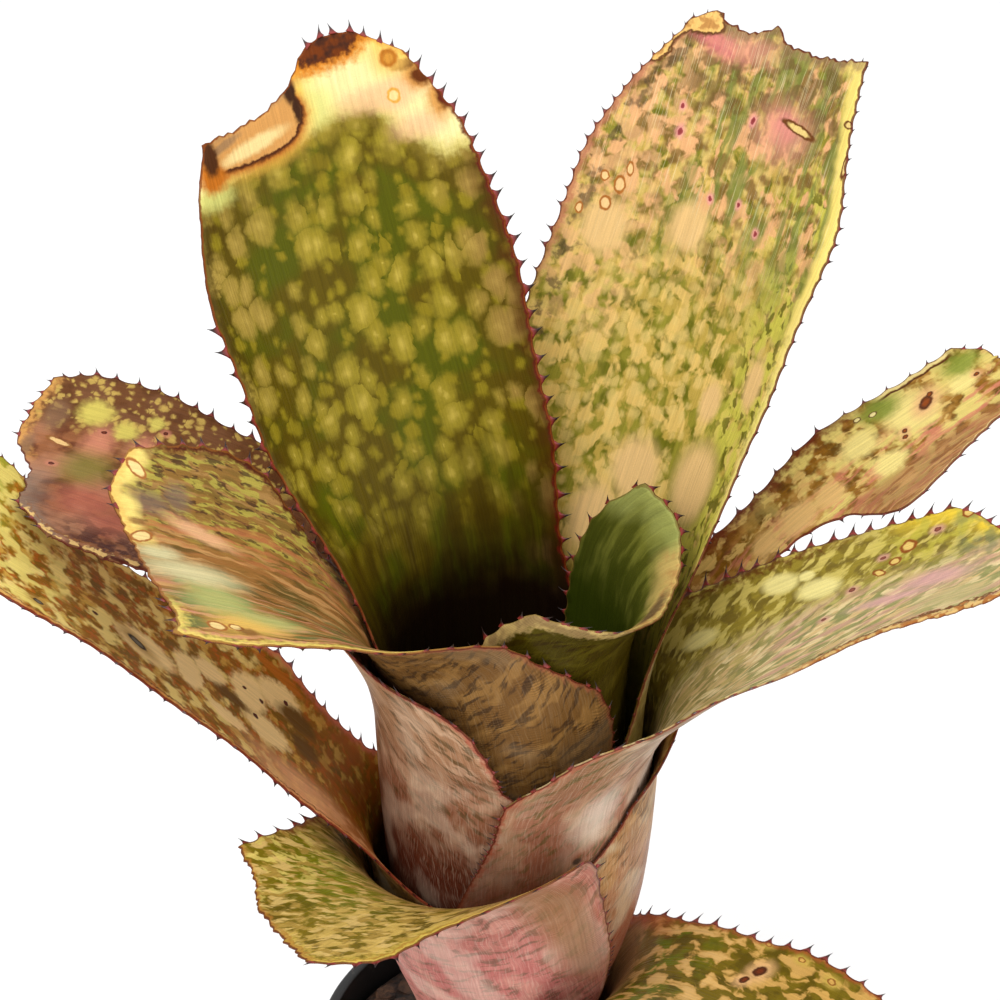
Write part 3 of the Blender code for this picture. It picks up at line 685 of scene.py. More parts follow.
# %% Node groups
def blotches(wires, place, size, stretch, fill, softness, vary, seed):
    """Soft blobs: distance to random seeds under a limit that differs by seed, long along the leaf."""
    x, y, _ = wires.split(place)
    seeds = {"Vector": wires.join(x / size + seed, y / size / stretch), "Scale": 1.0}
    colour, distance = wires.node("TexVoronoi", seeds, ("Color", "Distance"), voronoi_dimensions="2D")
    _, chance, _ = wires.split(colour)
    limit = fill * ((chance - 0.6) * (vary * 2.0) + 1.0)
    low, high = limit + softness, limit - softness
    return {"Mask": wires.step(distance, low, high), "Depth": wires.step(distance, high, 0.0)}


def streaks(wires, place, angle, width, length, low, high, seed):
    """Flecks: noise that is stretched along one direction on the leaf, between two limits."""
    x, y, _ = wires.split(place)
    cos, sin = (wires.math(name, angle) for name in ("COSINE", "SINE"))
    aside, ahead = x * cos - y * sin, x * sin + y * cos
    flecks = wires.noise(wires.join(aside / width + seed, ahead / length), detail=3.0)
    return {"Mask": wires.step(flecks, low, high)}


def skin(wires, place, rows):
    """The leaf's own relief: parallel veins along it, scale rows across it and small pores, as heights."""
    x, y, _ = wires.split(place)
    vein = wires.noise(wires.join(x * 16.0, y * 0.4), detail=3.0)
    patch = wires.noise(place, 1.4)
    scales = wires.math("SINE", (y + patch * 0.2) * 130.0) * wires.step(patch, 0.4, 0.7) * rows
    pores = wires.noise(place, 34.0, 1.0) * 0.4
    return {"Height": vein + scales * 0.3 + pores, "Tone": scales * 0.22 + vein * 0.5 + pores * 0.5}


def new_group(formula, *numbers):
    """A shader group from a formula, which takes a place and the numbers and gives outputs by name."""
    tree = bpy.data.node_groups.new(formula.__name__, "ShaderNodeTree")
    tree.interface.new_socket("Place", in_out="INPUT", socket_type="NodeSocketVector")
    for key in numbers:
        tree.interface.new_socket(key, in_out="INPUT", socket_type="NodeSocketFloat")
    wires = Wires(tree)
    given = tree.nodes.new("NodeGroupInput").outputs
    made = formula(wires, *(Value(wires, given[key]) for key in ("Place", *numbers)))
    result = tree.nodes.new("NodeGroupOutput")
    for key, value in made.items():
        tree.interface.new_socket(key, in_out="OUTPUT", socket_type="NodeSocketFloat")
        wires.set(result.inputs[key], value)
    return tree


GROUPS = {
    "blotches": new_group(blotches, "Size", "Stretch", "Fill", "Softness", "Vary", "Seed"),
    "streaks": new_group(streaks, "Angle", "Width", "Length", "Low", "High", "Seed"),
    "skin": new_group(skin, "Rows"),
}
print("node groups:", ", ".join(GROUPS))

# %% [markdown]
# Each leaf has a recipe, written one coat to a line: a colour, how much of it, and the masks that it is
# laid through, joined by &. A mask is the name of a way to make one and its numbers, such as
# "edge .3 .7 .9" or "clouds .6 .44 .62 seed=4". Other lines name a mask for later, or lay patches and
# wounds, whose places follow the word at. Two noises, one wide and one fine, are made once per leaf and
# bend every mask, so nothing has a drawn edge and the shader stays quick.

# %% Ways to make a mask
PIGMENT_SHARES = (0.98, 0.94, 0.74)
WIDE_STRAY = 1.3
FINE_STRAY = 7.0
WIDE_BAND = 0.45


class Masks(Finish):
    """The masks of one leaf's material. Lengths given to the methods are centimetres, angles degrees."""

    def __init__(self, name):
        super().__init__(name)
        self.place = self.kept("place", "Vector")
        self.x, self.s, self.to_edge = self.split(self.place)
        self.to_tip, self.face, _ = self.split(self.kept("reach", "Vector"))
        self.wide, self.fine = (
            self.vector("SUBTRACT", self.noise(self.place, stray, out="Color"), (0.5, 0.5, 0.5))
            for stray in (WIDE_STRAY, FINE_STRAY))
        self.wide_x, self.wide_y, _ = self.split(self.wide)
        self.fine_x, _, _ = self.split(self.fine)
        self.bent_places = {}

    def bent(self, wide, fine):
        """The place, moved by up to half of wide and fine: a mask that reads it gets a wandering edge."""
        if (wide, fine) not in self.bent_places:
            shift = self.vector("ADD", self.scaled(self.wide, wide), self.scaled(self.fine, fine))
            self.bent_places[wide, fine] = self.vector("ADD", self.place, shift)
        return self.bent_places[wide, fine]

    def blobs(self, size, fill, softness=0.1, stretch=1.4, vary=0.3, seed=0.0, bend=0.3):
        """Round blobs. Their lighter middles are kept as core."""
        values = {"Place": self.bent(bend, 0.12), "Size": size, "Fill": fill, "Softness": softness,
                  "Stretch": stretch, "Vary": vary, "Seed": seed * 3.7}
        mask, self.core = self.node("Group", values, ("Mask", "Depth"), node_tree=GROUPS["blotches"])
        return mask

    def streaks(self, width, length, low, high, angle=0.0, seed=0.0, bend=0.25):
        values = {"Place": self.bent(bend, 0.0), "Width": width, "Length": length, "Low": low, "High": high,
                  "Seed": seed * 7.3, "Angle": float(np.radians(angle))}
        return self.node("Group", values, "Mask", node_tree=GROUPS["streaks"])

    def clouds(self, size, low, high, seed=0.0, detail=2.0):
        shifted = self.vector("ADD", self.place, (seed * 5.1, seed * 3.3, 0))
        return self.step(self.noise(shifted, 1 / size, detail), low, high)

    def left(self, start, end):
        """0 where the place across the leaf is before start, and 1 past end."""
        return self.step(self.x, start, end)

    def low(self, top, fade=1.0):
        return self.high(top, -fade)

    def high(self, bottom, fade=1.0):
        """1 towards the tip from bottom, over a fade that wanders along the leaf."""
        return self.step(self.s + self.wide_y, bottom - fade / 2, bottom + fade / 2)

    def strayed(self, value, width, wobble):
        """value with the wide or the fine noise added, whichever suits a band of this width."""
        return value + (self.wide_x if width > WIDE_BAND else self.fine_x) * (2 * wobble * width)

    def edge(self, width, wobble=0.5, sharp=0.3):
        """1 at the leaf's edge and 0 past width, with a limit that wanders by a share of the width."""
        return self.step(self.strayed(self.to_edge, width, wobble), width, width * (1 - sharp))

    def tip(self, width, wobble=0.4, sharp=0.3):
        return self.step(self.strayed(self.to_tip, width, wobble), width, width * (1 - sharp))

    def line(self, offset, width, stray=0.0, wobble=0.0):
        """1 on a line along the margin, offset inside it, and 0 past half its width to both sides."""
        distance = self.strayed(self.to_edge, stray, wobble) if stray else self.to_edge
        return self.step(abs(distance - offset), width / 2, width / 6)

    def outline(self, name, ragged=0.1):
        """Distance in centimetres to one of the leaf's outlines, plus inside it, with a wandering limit."""
        return self.kept(name) + self.fine_x * ragged

    def ovals(self, place, spots, turn=0.0):
        """Distance to the nearest of some ovals, 1 on its limit: the square root of (p/a)^2 + (q/b)^2.

        A spot is (across, along, half width a, half length b) and maybe its own turn in degrees.
        """
        x, y, _ = self.split(place)
        nearest = None
        for across, along, wide, long, *own in spots:
            angle = np.radians(own[0] if own else turn)
            c, d = float(np.cos(angle)), float(np.sin(angle))
            dx, dy = x - across, y - along
            p = self.math("MULTIPLY_ADD", dx, c / wide, dy * (-d / wide))
            q = self.math("MULTIPLY_ADD", dx, d / long, dy * (c / long))
            square = self.math("MULTIPLY_ADD", p, p, q * q)
            nearest = square if nearest is None else self.math("MINIMUM", nearest, square)
        return self.math("SQRT", nearest)


# %% Paint
SKIN_BUMP = 0.4
SKIN_DEPTH = 0.0004
MARGIN_RED = "#5a2018"


class Paint(Masks):
    """One leaf's material, laid down in coats."""

    def pigment(self, code):
        """The colour as seen, less the share of light that the leaf's wax adds by itself."""
        return (*(share * part for share, part in zip(PIGMENT_SHARES, linear(code))), 1)

    def ground(self, code):
        self.colour = self.pigment(code)

    def coat(self, code, mask, amount=1.0):
        if amount != 1.0:
            mask = mask * amount
        self.colour = self.mixed(mask, self.colour, self.pigment(code))

    def patches(self, code, spots, turn=0.0, soft=0.5, amount=1.0, ragged=0.5):
        """Soft patches of one colour with wandering edges."""
        size = min(min(spot[2:4]) for spot in spots)
        place = self.bent(round(ragged * size, 2), round(ragged * min(size, 0.3), 2))
        self.coat(code, self.step(self.ovals(place, spots, turn), 1 + soft / 2, 1 - soft / 2), amount)

    def wounds(self, rim, inside, spots, halo=None, line=0.3):
        """Healed wounds: a dark rim round a pale inside, and maybe a wide soft halo."""
        oval = self.ovals(self.bent(0.0, 0.07), spots)
        if halo:
            self.coat(halo, self.step(oval, 4.2, 1.0), 0.8)
        self.coat(inside, self.step(oval, 1.05, 0.75))
        self.coat(rim, self.step(abs(oval - 1.0), line, 0.05))

    def outside(self, ground, pale, dark, flush_and_shade, top, seed=0.0, bloom="#d8cfc0", shine=0.25, slant=60,
                deep=None, margin="#94503e"):
        """The outer face: slanting bands, pink or red-brown below top that is partly its own colour and
        partly painted shade, a deep tone lower down that is painted shade, and a silvery bloom.
        """
        self.inner = self.colour
        self.ground(ground)
        low = self.low(top, 2.5)
        self.coat(pale, self.streaks(0.4, 1.1, 0.46, 0.64, slant, seed + 3, 0.5), 0.75)
        # Below top the sheath turns pink or red-brown: partly its own colour, partly painted shade.
        self.coat(flush_and_shade, low, 0.7)
        self.coat(dark, self.streaks(0.13, 0.6, 0.5, 0.66, slant - 6, seed, 0.3), 0.75)
        self.coat(pale, low * self.clouds(0.9, 0.46, 0.7, seed + 5), 0.5)
        # The deep tone is painted shade, low on the sheath where little light reaches.
        if deep:
            self.coat(deep, self.low(top - 2.2, 3.0), 0.9)
        self.coat(bloom, self.streaks(0.04, 0.5, 0.46, 0.74, 0.0, seed + 2), shine * 0.6)
        self.coat(bloom, self.clouds(1.6, 0.5, 0.68, seed + 1), shine)
        self.coat(margin, self.edge(0.2, 0.8, 0.9), 0.7)
        self.coat(MARGIN_RED, self.edge(0.06, 0.7, 0.7), 0.9)

    def dry(self, roughness, rows=0.35, gloss=0.08):
        """Joins the two faces, and sets the gloss and the relief of the skin."""
        values = {"Place": self.place, "Rows": (1.0 - self.face) * rows}
        height, tone = self.node("Group", values, ("Height", "Tone"), node_tree=GROUPS["skin"])
        both = self.mixed(self.face, self.colour, self.inner)
        colour = self.mixed(1.0, both, tone * 0.9 + 0.68, blend_type="MULTIPLY")
        self.shader["Specular IOR Level"].default_value = gloss
        self.done(colour, self.wide_y * 0.25 + roughness, height, SKIN_BUMP, SKIN_DEPTH)


# %% Following a recipe
class Recipe:
    """Reads a leaf's recipe and lays its coats on a new material, through masks that it can name."""

    def __init__(self, name):
        self.paint = Paint(name)
        self.named = {"s": self.paint.s}

    def word(self, text):
        """A colour, something named before, a number, or the name of one of the leaf's outlines."""
        if text[0] == "#":
            return text
        return self.named.get(text, text) if text[0].isalpha() else float(text)

    def phrase(self, text):
        """One of the ways above, called by its name with the words that follow, or something named before."""
        text, _, places = text.partition(" at ")
        first, *words = text.split()
        if first in self.named:
            return self.named[first]
        values = [self.word(word) for word in words if "=" not in word]
        named = dict(word.split("=") for word in words if "=" in word)
        if places:
            values.append(rows(places))
        return getattr(self.paint, first)(*values, **{key: self.word(word) for key, word in named.items()})

    def mask(self, text):
        """Masks joined by &: their product."""
        result, *others = [self.phrase(part) for part in text.split(" & ")]
        for other in others:
            result = result * other
        return result

    def follow(self, recipe):
        """Lays the coats in turn. A line that starts with two blanks belongs to the line before."""
        for line in recipe.replace("\n  ", " ").strip().splitlines():
            first, *rest = line.split(maxsplit=2)
            if first[0] == "#":
                self.paint.coat(first, self.mask(rest[1]), float(rest[0]))
            elif rest[0] != "=":
                self.phrase(line)
            elif rest[1].startswith("blobs"):
                self.named[first] = self.mask(rest[1])
                self.named[first + ".core"] = self.paint.core
            else:
                self.named[first] = self.mask(rest[1])
        return self.paint.material


RECIPES = {}

# %% [markdown]
# ### The tall back leaves
# The left one is deep olive inside, with soft oval blobs that are close together and lighter in the
# middle. The cup's bottom is painted nearly black as shade. Its top is bleached, and where an insect or
# the sun broke the edge it has dried to a tan lens with a brown outline. The right one is so full of
# cream and pink blotches that the green shows only between them. The dried places have outlines of
# their own. Each recipe ends with the outer face, dulled by rows of tiny silver scales over slanting
# bands, and flushed pink or red-brown on the sheath, partly its own colour and partly painted shade where it
# gets little light.

# %% Recipes of the tall back leaves
# The coat #120704 at low 1.3 is painted shade: the bottom of the cup made nearly black.
RECIPES["back_left"] = """
ground #574a06
#4d5604 .75 clouds 1.8 .4 .62
#4a3408 .7 edge 1.3 .5 .98
fade = high 2.9 3.4
big = blobs .72 .37 .17 stretch=1.35 vary=.4 seed=2.4 bend=.4
small = blobs .45 .28 .17 stretch=1.3 vary=.6 seed=6.1
#887a1e .9 small & fade
#90822a 1 big & fade
#b5a24c .9 big.core & fade
#a0864a .65 left .6 3 & big & high 6.5 5
#94704a .6 left -2 -3.4 & big
#4e2c0a .8 edge .55 .5 .9 & left -2 -2.8
#4a3a0c .75 left 2.4 3 & edge .4 .6 .8 & low 12
#5a4a10 .5 high 10.6 1.6 & clouds .6 .4 .66 seed=8
#3a2c06 .8 low 3.2 4 & streaks .4 3 .34 .66 seed=4
#120704 .98 low 1.3 2.6
bleach = outline bleach .25
#8f7c34 .6 step bleach -.5 0
#c9bd78 1 step bleach -.16 .2
#ecdfae 1 step bleach .05 .5
patches #e2b598 soft=1.4 amount=.75 at -1.6 12.75 1 .3 / -2.4 11.9 .6 .3
patches #cdd084 soft=1.2 amount=.8 at .15 12.95 .6 .5 / 3.1 11.45 .5 .3
#f0cf6c .9 tip .9 .4 .9 & left 1.2 .2
#c8842e .9 tip .3 .5 .8 & left 1.2 .4
scorch = outline scorch .35
#cb7c22 .95 step scorch -.34 0
#6a3210 1 step scorch -.06 .16
#3a211a .9 step scorch .02 .24 & clouds .35 .35 .6
patches #c07c2c soft=1 amount=.85 at -2.6 13.05 .42 .36 / -3 12.45 .34 .5
patches #5c2c0c soft=.7 ragged=.9 at -2.7 13.05 .26 .24 / -3.1 12.5 .2 .36 / -2.3 13.35 .3 .14
lens = outline lens .1
#e2ad4e .55 step lens -.5 -.12
#ab5f20 .9 step lens -.28 -.06
#4c240e 1 step lens -.13 -.02
#c8935a 1 step lens -.01 .04
patches #e6cf9e turn=14 soft=.9 at 1.75 12.35 .9 .17
patches #8a6e58 turn=18 soft=1 amount=.75 at 1.6 13.1 1.3 .16 / 2.5 12.55 .5 .1
patches #3c2214 soft=.8 ragged=.8 at .5 13.35 .16 .3 / .42 12.9 .1 .3
patches #b86a1e soft=.8 at 3 11.95 .4 .42
patches #4a2810 soft=.7 at 2.95 12.35 .24 .42
wounds #b06e26 #c98c3c halo=#e6b866 line=.6 at -2.01 13.6 .17 .17 0
wounds #d6a04c #eccf9c halo=#eebd98 line=.35 at -1.94 12.7 .14 .16 0
#5c1410 .95 edge .14 .6 .8 & left -1.6 -2.4 & low 12.4
#7a3c14 .85 edge .05 .7 .7
outside #7d6c2e #a08e4c #50421a #6b4a3c -4 seed=1
dry .4
"""

# The coat #5c5010 at low 1.8 is painted shade, dark where the leaf goes down into the tube.
RECIPES["back_right"] = """
ground #8a8430
#5f6010 .85 clouds .7 .44 .62
#b89e50 .9 streaks .4 .55 .46 .6 seed=2 bend=.4
#d6b670 .95 streaks .46 .62 .49 .62 seed=5 bend=.4
spots = blobs .36 .34 .2 stretch=1.2 vary=.5 seed=8 bend=.3
#d2b877 .7 spots
lime = left -1.1 -2.4 & low 13.4 2
#c2bd55 .9 lime & streaks .5 .7 .38 .54 seed=4 bend=.5
#5c5a12 .9 lime & streaks .34 .42 .54 .64 seed=9 bend=.4
top = high 10.6 4
#74552e .85 top & clouds .5 .42 .62 seed=2
#e2ac84 .9 top & streaks .42 .55 .5 .64 seed=6 bend=.4
#768040 .85 top & streaks .45 2.4 .46 .62 seed=2 & left 2.4 1
#66502e .75 high 13.8 1.2 & clouds .45 .44 .6 seed=7
side = left 1.5 2.6
#dfae86 .6 side & high 8 3 & clouds .5 .46 .6 seed=6
#4c3c2c .7 side & line .5 .6 stray=.4 wobble=.7 & clouds .45 .48 .6 seed=4
#b0705c .8 side & edge .26 .5 .7 & high 9 2
#d6c070 .85 left 1 1.6 & edge .2 .5 .6 & low 8 2
patches #d8718a turn=-14 soft=1.5 amount=.7 at 1.7 15.5 .8 .26 / -.85 14.1 .42 .34
patches #dc9890 soft=1.5 amount=.6 at -.85 13.95 .8 .7 / .7 15.6 .7 .3
#eed982 .95 left -1.9 -2.3 & edge .56 .3 .6 & high 9.4 3
#e8d68e .75 left -1.8 -2.2 & edge .45 .6 .9 & low 10.5 3 & high 5 2
#8e7258 .7 tip .4 .6 .95
patches #7a7a20 soft=.4 ragged=.2 amount=.8 at -1.9 5.35 .95 1.2
patches #dab786 soft=.8 ragged=.3 at -1.85 5.35 .8 1 / -1.35 7.3 .32 .5 / -2.69 8.2 .34 .62 / 3.1 10.4 .6
  .66 / .94 11.1 .5 .6 / .2 5 .7 .8 / 1 3.4 .6 .9
#f2ead2 .3 streaks .025 1.6 .6 .7 seed=3 bend=.05 & top
wounds #94404c #8a3a40 halo=#e59aa4 line=.6 at 2.08 13.8 .035 .05 / 1.94 13.2 .05 .07 / .12 14 .04 .06 /
  -.24 12 .035 .05 / -1 11.5 .04 .05 / .6 11.9 .035 .05
wounds #6a3e1c #e2c88a line=.45 at -1.3 14.15 .1 .5 80 / -2.9 14.65 .16 .08 0 / -3.2 13.75 .08 .26 0 / 2.9
  15 .09 .11 0
wounds #a3642a #e6c294 line=.35 at 3.47 11.6 .1 .12 12 / 3.04 11.5 .13 .2 12 / 2.9 11.95 .08 .16 12 / 3.25
  10.95 .13 .16 12 / 3.85 10.65 .09 .13 12
strip = outline strip .12
#5e3a20 1 step strip -.09 0
#e6bb78 1 step strip 0 .05
#b07c48 .85 step strip .04 .15 & clouds .25 .42 .6
#8a5c30 .7 tip .06 .8 .7
#5a1c1c .85 edge .05 .7 .7
#5c5010 .85 low 1.8 2.6
outside #8c7c46 #b5a26c #645020 #7a5a48 -4 seed=4
dry .4
"""

# %% [markdown]
# ### The leaves of the tube's front
# The heart leaf is fresh green inside, and its rolled lip has dried tan. The front-left leaf makes the
# tube's front. Its outer face there is a tan weave of scale rows with dark slanting bands, and its blade
# folds out in long pink, cream and grey-green streaks. The red leaf behind it is mottled red-brown.

# %% Recipes of the leaves of the tube's front
# The coat #2a3606 at low 4.6 is painted shade, dark green deep in the cup.
RECIPES["heart"] = """
ground #5c5f24
#2a3606 .92 low 4.6 3.5
#878a40 .6 streaks .3 1.2 .44 .7 & high 4.2 2
#a4ab6a .7 tip .9 .5 .9 & high 4 1
#c4ac70 1 tip 1 .3 .6 & left 2.6 1.9
#b88c5c .8 tip .7 .5 .7 & left 2.6 1.9 & clouds .3 .4 .6
patches #5a4438 soft=1 ragged=.8 amount=.85 at .4 5.85 .7 .2
#6e5a2c .7 edge .04 .6 .6
outside #3e3506 #514810 #2e2004 #2c1f04 -1 seed=7 bloom=#6c6028 margin=#4e3a12
lip = edge .42 .4 .5 & left -.6 -1.1 & high 4.4 .5
#b49c6c 1 lip
#7a6248 .7 lip & clouds .5 .46 .6 seed=2
dry .4 rows=.4
"""

# The coat #2a1a0a at low -.5 is painted shade where the leaf goes down into the tube.
RECIPES["front_left"] = """
ground #94683c
#5a4a26 .8 streaks .28 1.6 .46 .64 angle=-4 seed=2 bend=.4
#c99a6c .85 streaks .26 1.9 .48 .66 angle=-3 seed=5 bend=.4
#5f7044 .85 streaks .36 1.2 .5 .62 angle=-4 seed=8 bend=.5 & left -.6 1.4
#cf9080 .85 streaks .2 2.2 .5 .66 seed=9 bend=.4 & left .2 1.8
back = left -.5 -1.7
#7c6230 .6 back
#a69c4c .85 back & streaks .17 .55 .48 .6 angle=-10 seed=2
#402820 .8 back & streaks .14 .4 .55 .65 angle=-10 seed=5
#b06e4c .75 left -.2 -1 & left -2.2 -1.6 & streaks .2 1.4 .46 .62 seed=6
patches #b3bc80 soft=1.4 amount=.85 at 1.7 8.2 .8 .8 / 2.4 7.4 .5 .9
patches #d8d4b4 soft=1.4 amount=.85 at .5 8.4 .5 1.1 / -.2 9 .3 .5
patches #7a6660 soft=1.2 amount=.75 at -1.9 8.9 .35 .5 / -2.2 8.2 .4 .3
patches #deae90 turn=-20 soft=1.2 amount=.85 at -1.3 7.7 .22 .8
patches #e8bf6a soft=1.4 amount=.85 at 2.9 8 .5 .8
#ecd888 .95 tip .75 .5 .6 & left -.2 -.9
#e2b468 .7 tip .4 .6 .9 & left -.2 -.9
#dfcb74 .9 edge .4 .6 .9 & left 1.5 2.6 & high 3 2
wounds #a3683a #e8cf9c line=.3 at -2.8 9.15 .28 .14 40 / -.75 9.3 .16 .3 30 / 3.05 8.3 .14 .16 0 / 3.1 8.75
  .2 .2 0
patches #7a4e30 soft=1 ragged=.9 amount=.8 at 3.25 8.05 .22 .22 / -1.25 9.3 .12 .2
#4e1c14 .9 edge .24 .8 .8 & left -1 -2 & low 8.8
#8a5428 .8 edge .06 .8 .6
#2a1a0a .95 low -.5 3
outside #6c4c2a #8e6a40 #32221a #5a3818 -.8 seed=2 bloom=#a08a76 shine=.22 slant=72 deep=#40240c
  margin=#8f5240
dry .4 rows=1
"""

# The coat #2a1808 at low -.5 is painted shade where the leaf goes down into the tube.
RECIPES["left"] = """
ground #8e5a3e
#5e3020 .85 clouds .6 .44 .62 detail=3
#b07c66 .75 clouds 1.2 .46 .64 seed=5 detail=2
fine = left -.9 -1.9
#5c3a20 .75 fine
specks = blobs .22 .3 .18 stretch=1.1 vary=.7 seed=2 bend=.3
#c4a860 .85 fine & specks
patches #c9bc66 soft=.9 ragged=.9 at -2 10.4 .4 .42 / -1.7 9.5 .26 .3 / -2.2 8.9 .2 .2
patches #cf8878 soft=1.4 amount=.8 at -1 10 .6 .36 / -1.2 8.9 .5 .3
patches #7a7434 soft=1.5 amount=.8 at 0 9.9 .7 .6
patches #b8685c soft=1.4 amount=.75 at 1.4 9.4 .8 .7 / 2 8.6 .6 .6
#42181a .85 left 1.6 3 & low 9.4 1.4 & clouds .4 .38 .56 seed=6
#85706a .8 tip .9 .5 .98 & left 0 1
#cf9a5c .85 tip .4 .6 .9 & left .4 -.4
patches #80604e soft=1 amount=.8 at -1.7 11.3 .5 .3 / -.4 11.6 .5 .16
wounds #8a5a36 #dcb888 line=.3 at -.81 10.9 .09 .34 -14
wounds #4a1c16 #6a3026 halo=#c07c70 line=.5 at -1.5 10 .04 .06 0 / .1 10.75 .05 .06 0 / -2 8.6 .04 .05 0
#dcb880 1 edge .28 .9 .4 & left 1.9 2.6 & clouds .3 .42 .52
#8a5630 .85 line .32 .12 stray=.3 wobble=.7 & left 1.9 2.6
#5a2620 .85 edge .05 .7 .7
#2a1808 .95 low -.5 3
outside #a8806a #d2b0a0 #544228 #7c4230 .4 seed=5 bloom=#e4cfc8 shine=.3 slant=-50 deep=#501c0e
  margin=#a04a40
dry .4 rows=.5
"""

# %% [markdown]
# ### The right-hand leaves
# The front one is channelled: above its fold it is olive with cream ovals, and below it grey-green with
# long pink and cream flecks. Its end is yellow and its lower margin has dried in ragged brown bites.
# Its sheath is silvery pink, with pale patches painted on as a highlight. The one behind it is redder, with
# wide cream patches and small wounds.

# %% Recipes of the right-hand leaves
# The coats #5c3c20 at low .6 and #20140a at low -1.2 are painted shade where the leaf goes down into the
# tube. The pale #d8cacb patches on the sheath are a painted highlight.
RECIPES["right_front"] = """
ground #8f8034
#6a5a28 .75 clouds .4 .44 .62 detail=2
#c9ba6e .9 streaks .24 .6 .47 .6 angle=30 seed=3
below = left 1.3 .2
#8c9064 .85 below
#98864c .7 below & low 4.6 3
#c2ac74 .8 below & low 5 3 & clouds .5 .44 .6 seed=6
#d4b68c .9 below & streaks .17 .8 .47 .62 angle=26 seed=1
#e4d0ac .9 below & streaks .2 .7 .52 .64 angle=24 seed=4
#c99a94 .8 below & streaks .3 2 .48 .66 angle=16 seed=7 & high 5 2
patches #cfa0ac turn=-8 soft=1.3 amount=.85 at .2 9.7 .3 .9 / 0 8.6 .16 1
patches #b8ad84 turn=-8 soft=1.3 amount=.85 at -.9 10.2 .5 .9
patches #e0d69a turn=-14 soft=.7 ragged=.35 at 1.99 5.6 .26 .5 / 1.38 6.6 .3 .6 / 1.9 6.3 .14 .22 / 1.6 3.2
  .24 .5
#5e3018 .85 edge .4 .8 .95 & left 1.4 2 & low 7.4 2
#c8b860 .85 edge .14 .7 .5 & left 1.2 1.8 & clouds .4 .42 .55
#e8ca44 .95 edge .8 .5 .9 & left .8 1.6 & high 8.9 1.2
#b9b04c .8 high 8.4 1.2 & left .6 1.6 & clouds .5 .48 .64 seed=8
#6a7458 .6 high 10.2 .8 & left 0 .6 & clouds .5 .4 .6 seed=2
wounds #8a4c1e #d9bc74 line=.4 at 1.7 8.95 .16 .18 0 / 1.36 8.6 .1 .14 0 / 1.15 8.2 .08 .16 -30 / 2.1 10.5
  .14 .14 0
wounds #6a3432 #8a5048 halo=#cf9a98 line=.5 at 1.9 9.7 .05 .07 0 / .2 6.8 .04 .07 0 / .9 7.5 .045 .07 0 /
  1.6 8.3 .04 .06 0
dried = left -.2 -.7 & high 6.6 1.5
#6e3a16 .95 dried & line .3 .2 stray=.3 wobble=.7
#d8b67e 1 dried & edge .24 .8 .4
#a5632c .9 dried & edge .32 .8 .5 & clouds .25 .46 .56
#5c3c20 .8 low .6 2.4
#20140a .95 low -1.2 2.5
#5c1e1a .85 edge .06 .7 .7 & left -.2 .4
outside #8c6c56 #bb9c88 #5a5230 #9a5e52 1.6 seed=8 bloom=#dcccc6 shine=.3 slant=50 margin=#a04e3e
#5c2c1a .8 low -.6 3 & left -2.2 -3.6
patches #d8cacb turn=10 soft=1.6 amount=.7 at -.3 .6 .7 1.6 / -2.4 .4 .5 .7
patches #4a3a34 soft=.8 at -.9 .2 .05 .08 / -.8 -.1 .04 .08 / -.35 1.5 .05 .16 / -2.9 -.9 .12 .1
dry .36 rows=.45
"""

# The coat #3a240e at low .5 is painted shade where the leaf goes down under the others.
RECIPES["right_back"] = """
ground #8a601a
#5e400c .85 clouds .55 .44 .62 detail=3
#b68a48 .85 clouds .6 .46 .66 seed=4 detail=3
#6a2c12 .8 edge .8 .6 .98 & left 0 .6 & low 9 3
#d8b878 .9 streaks .34 .46 .5 .62 seed=2 bend=.5
#dccb80 .9 clouds .7 .45 .6 seed=2 detail=3 & high 6.5 2.5
#d08070 .8 left .8 -.4 & streaks .3 1.2 .48 .64 angle=10 seed=4
#94603c .7 left -.8 -1.5 & high 7.5 2
#c89a68 .7 left -1 -1.8 & streaks .12 1 .46 .66 seed=3
patches #e8d894 soft=.9 ragged=.6 at .45 10.75 .7 .7 / -.72 9.5 .42 .45 / .45 9.2 .4 .5 / .3 12.2 .3 .4
patches #d8b27c soft=1 ragged=.7 at -.35 6.9 .5 .6 / -.4 7.8 .4 .45 / -.3 5.9 .4 .4
patches #80903a soft=1.1 amount=.9 at 1.15 10.2 .4 .55 / .9 12.5 .4 .5
wounds #5a2f18 #8a4418 halo=#dca884 line=.6 at .44 11.18 .12 .2 40 / .62 11.4 .06 .08 0 / 0 10.3 .05 .06 0 /
  -.2 10.2 .05 .06 0 / .3 12.6 .05 .06 0
wounds #6a5030 #e8dca8 line=.4 at 1.23 9.6 .07 .1 0 / 1.11 10 .07 .1 0
strip = left .5 .9 & step s 10.2 10.6 & step s 12.6 12.3
#5c3418 1 strip & line .2 .12
#e9d6a0 1 strip & edge .17 .3 .3
#6e2c12 .9 edge .42 .7 .98 & left .1 .5 & low 9.6 2
#e6d0a0 .8 edge .08 .8 .5 & left -.9 -1.3 & high 8.8 1
#5c1a12 .85 edge .05 .7 .7
#3a240e .9 low .5 2.5
outside #8e6638 #b58c60 #543618 #a87a68 -1 seed=3 shine=.3 deep=#8a4a3c
dry .38 rows=.3
"""
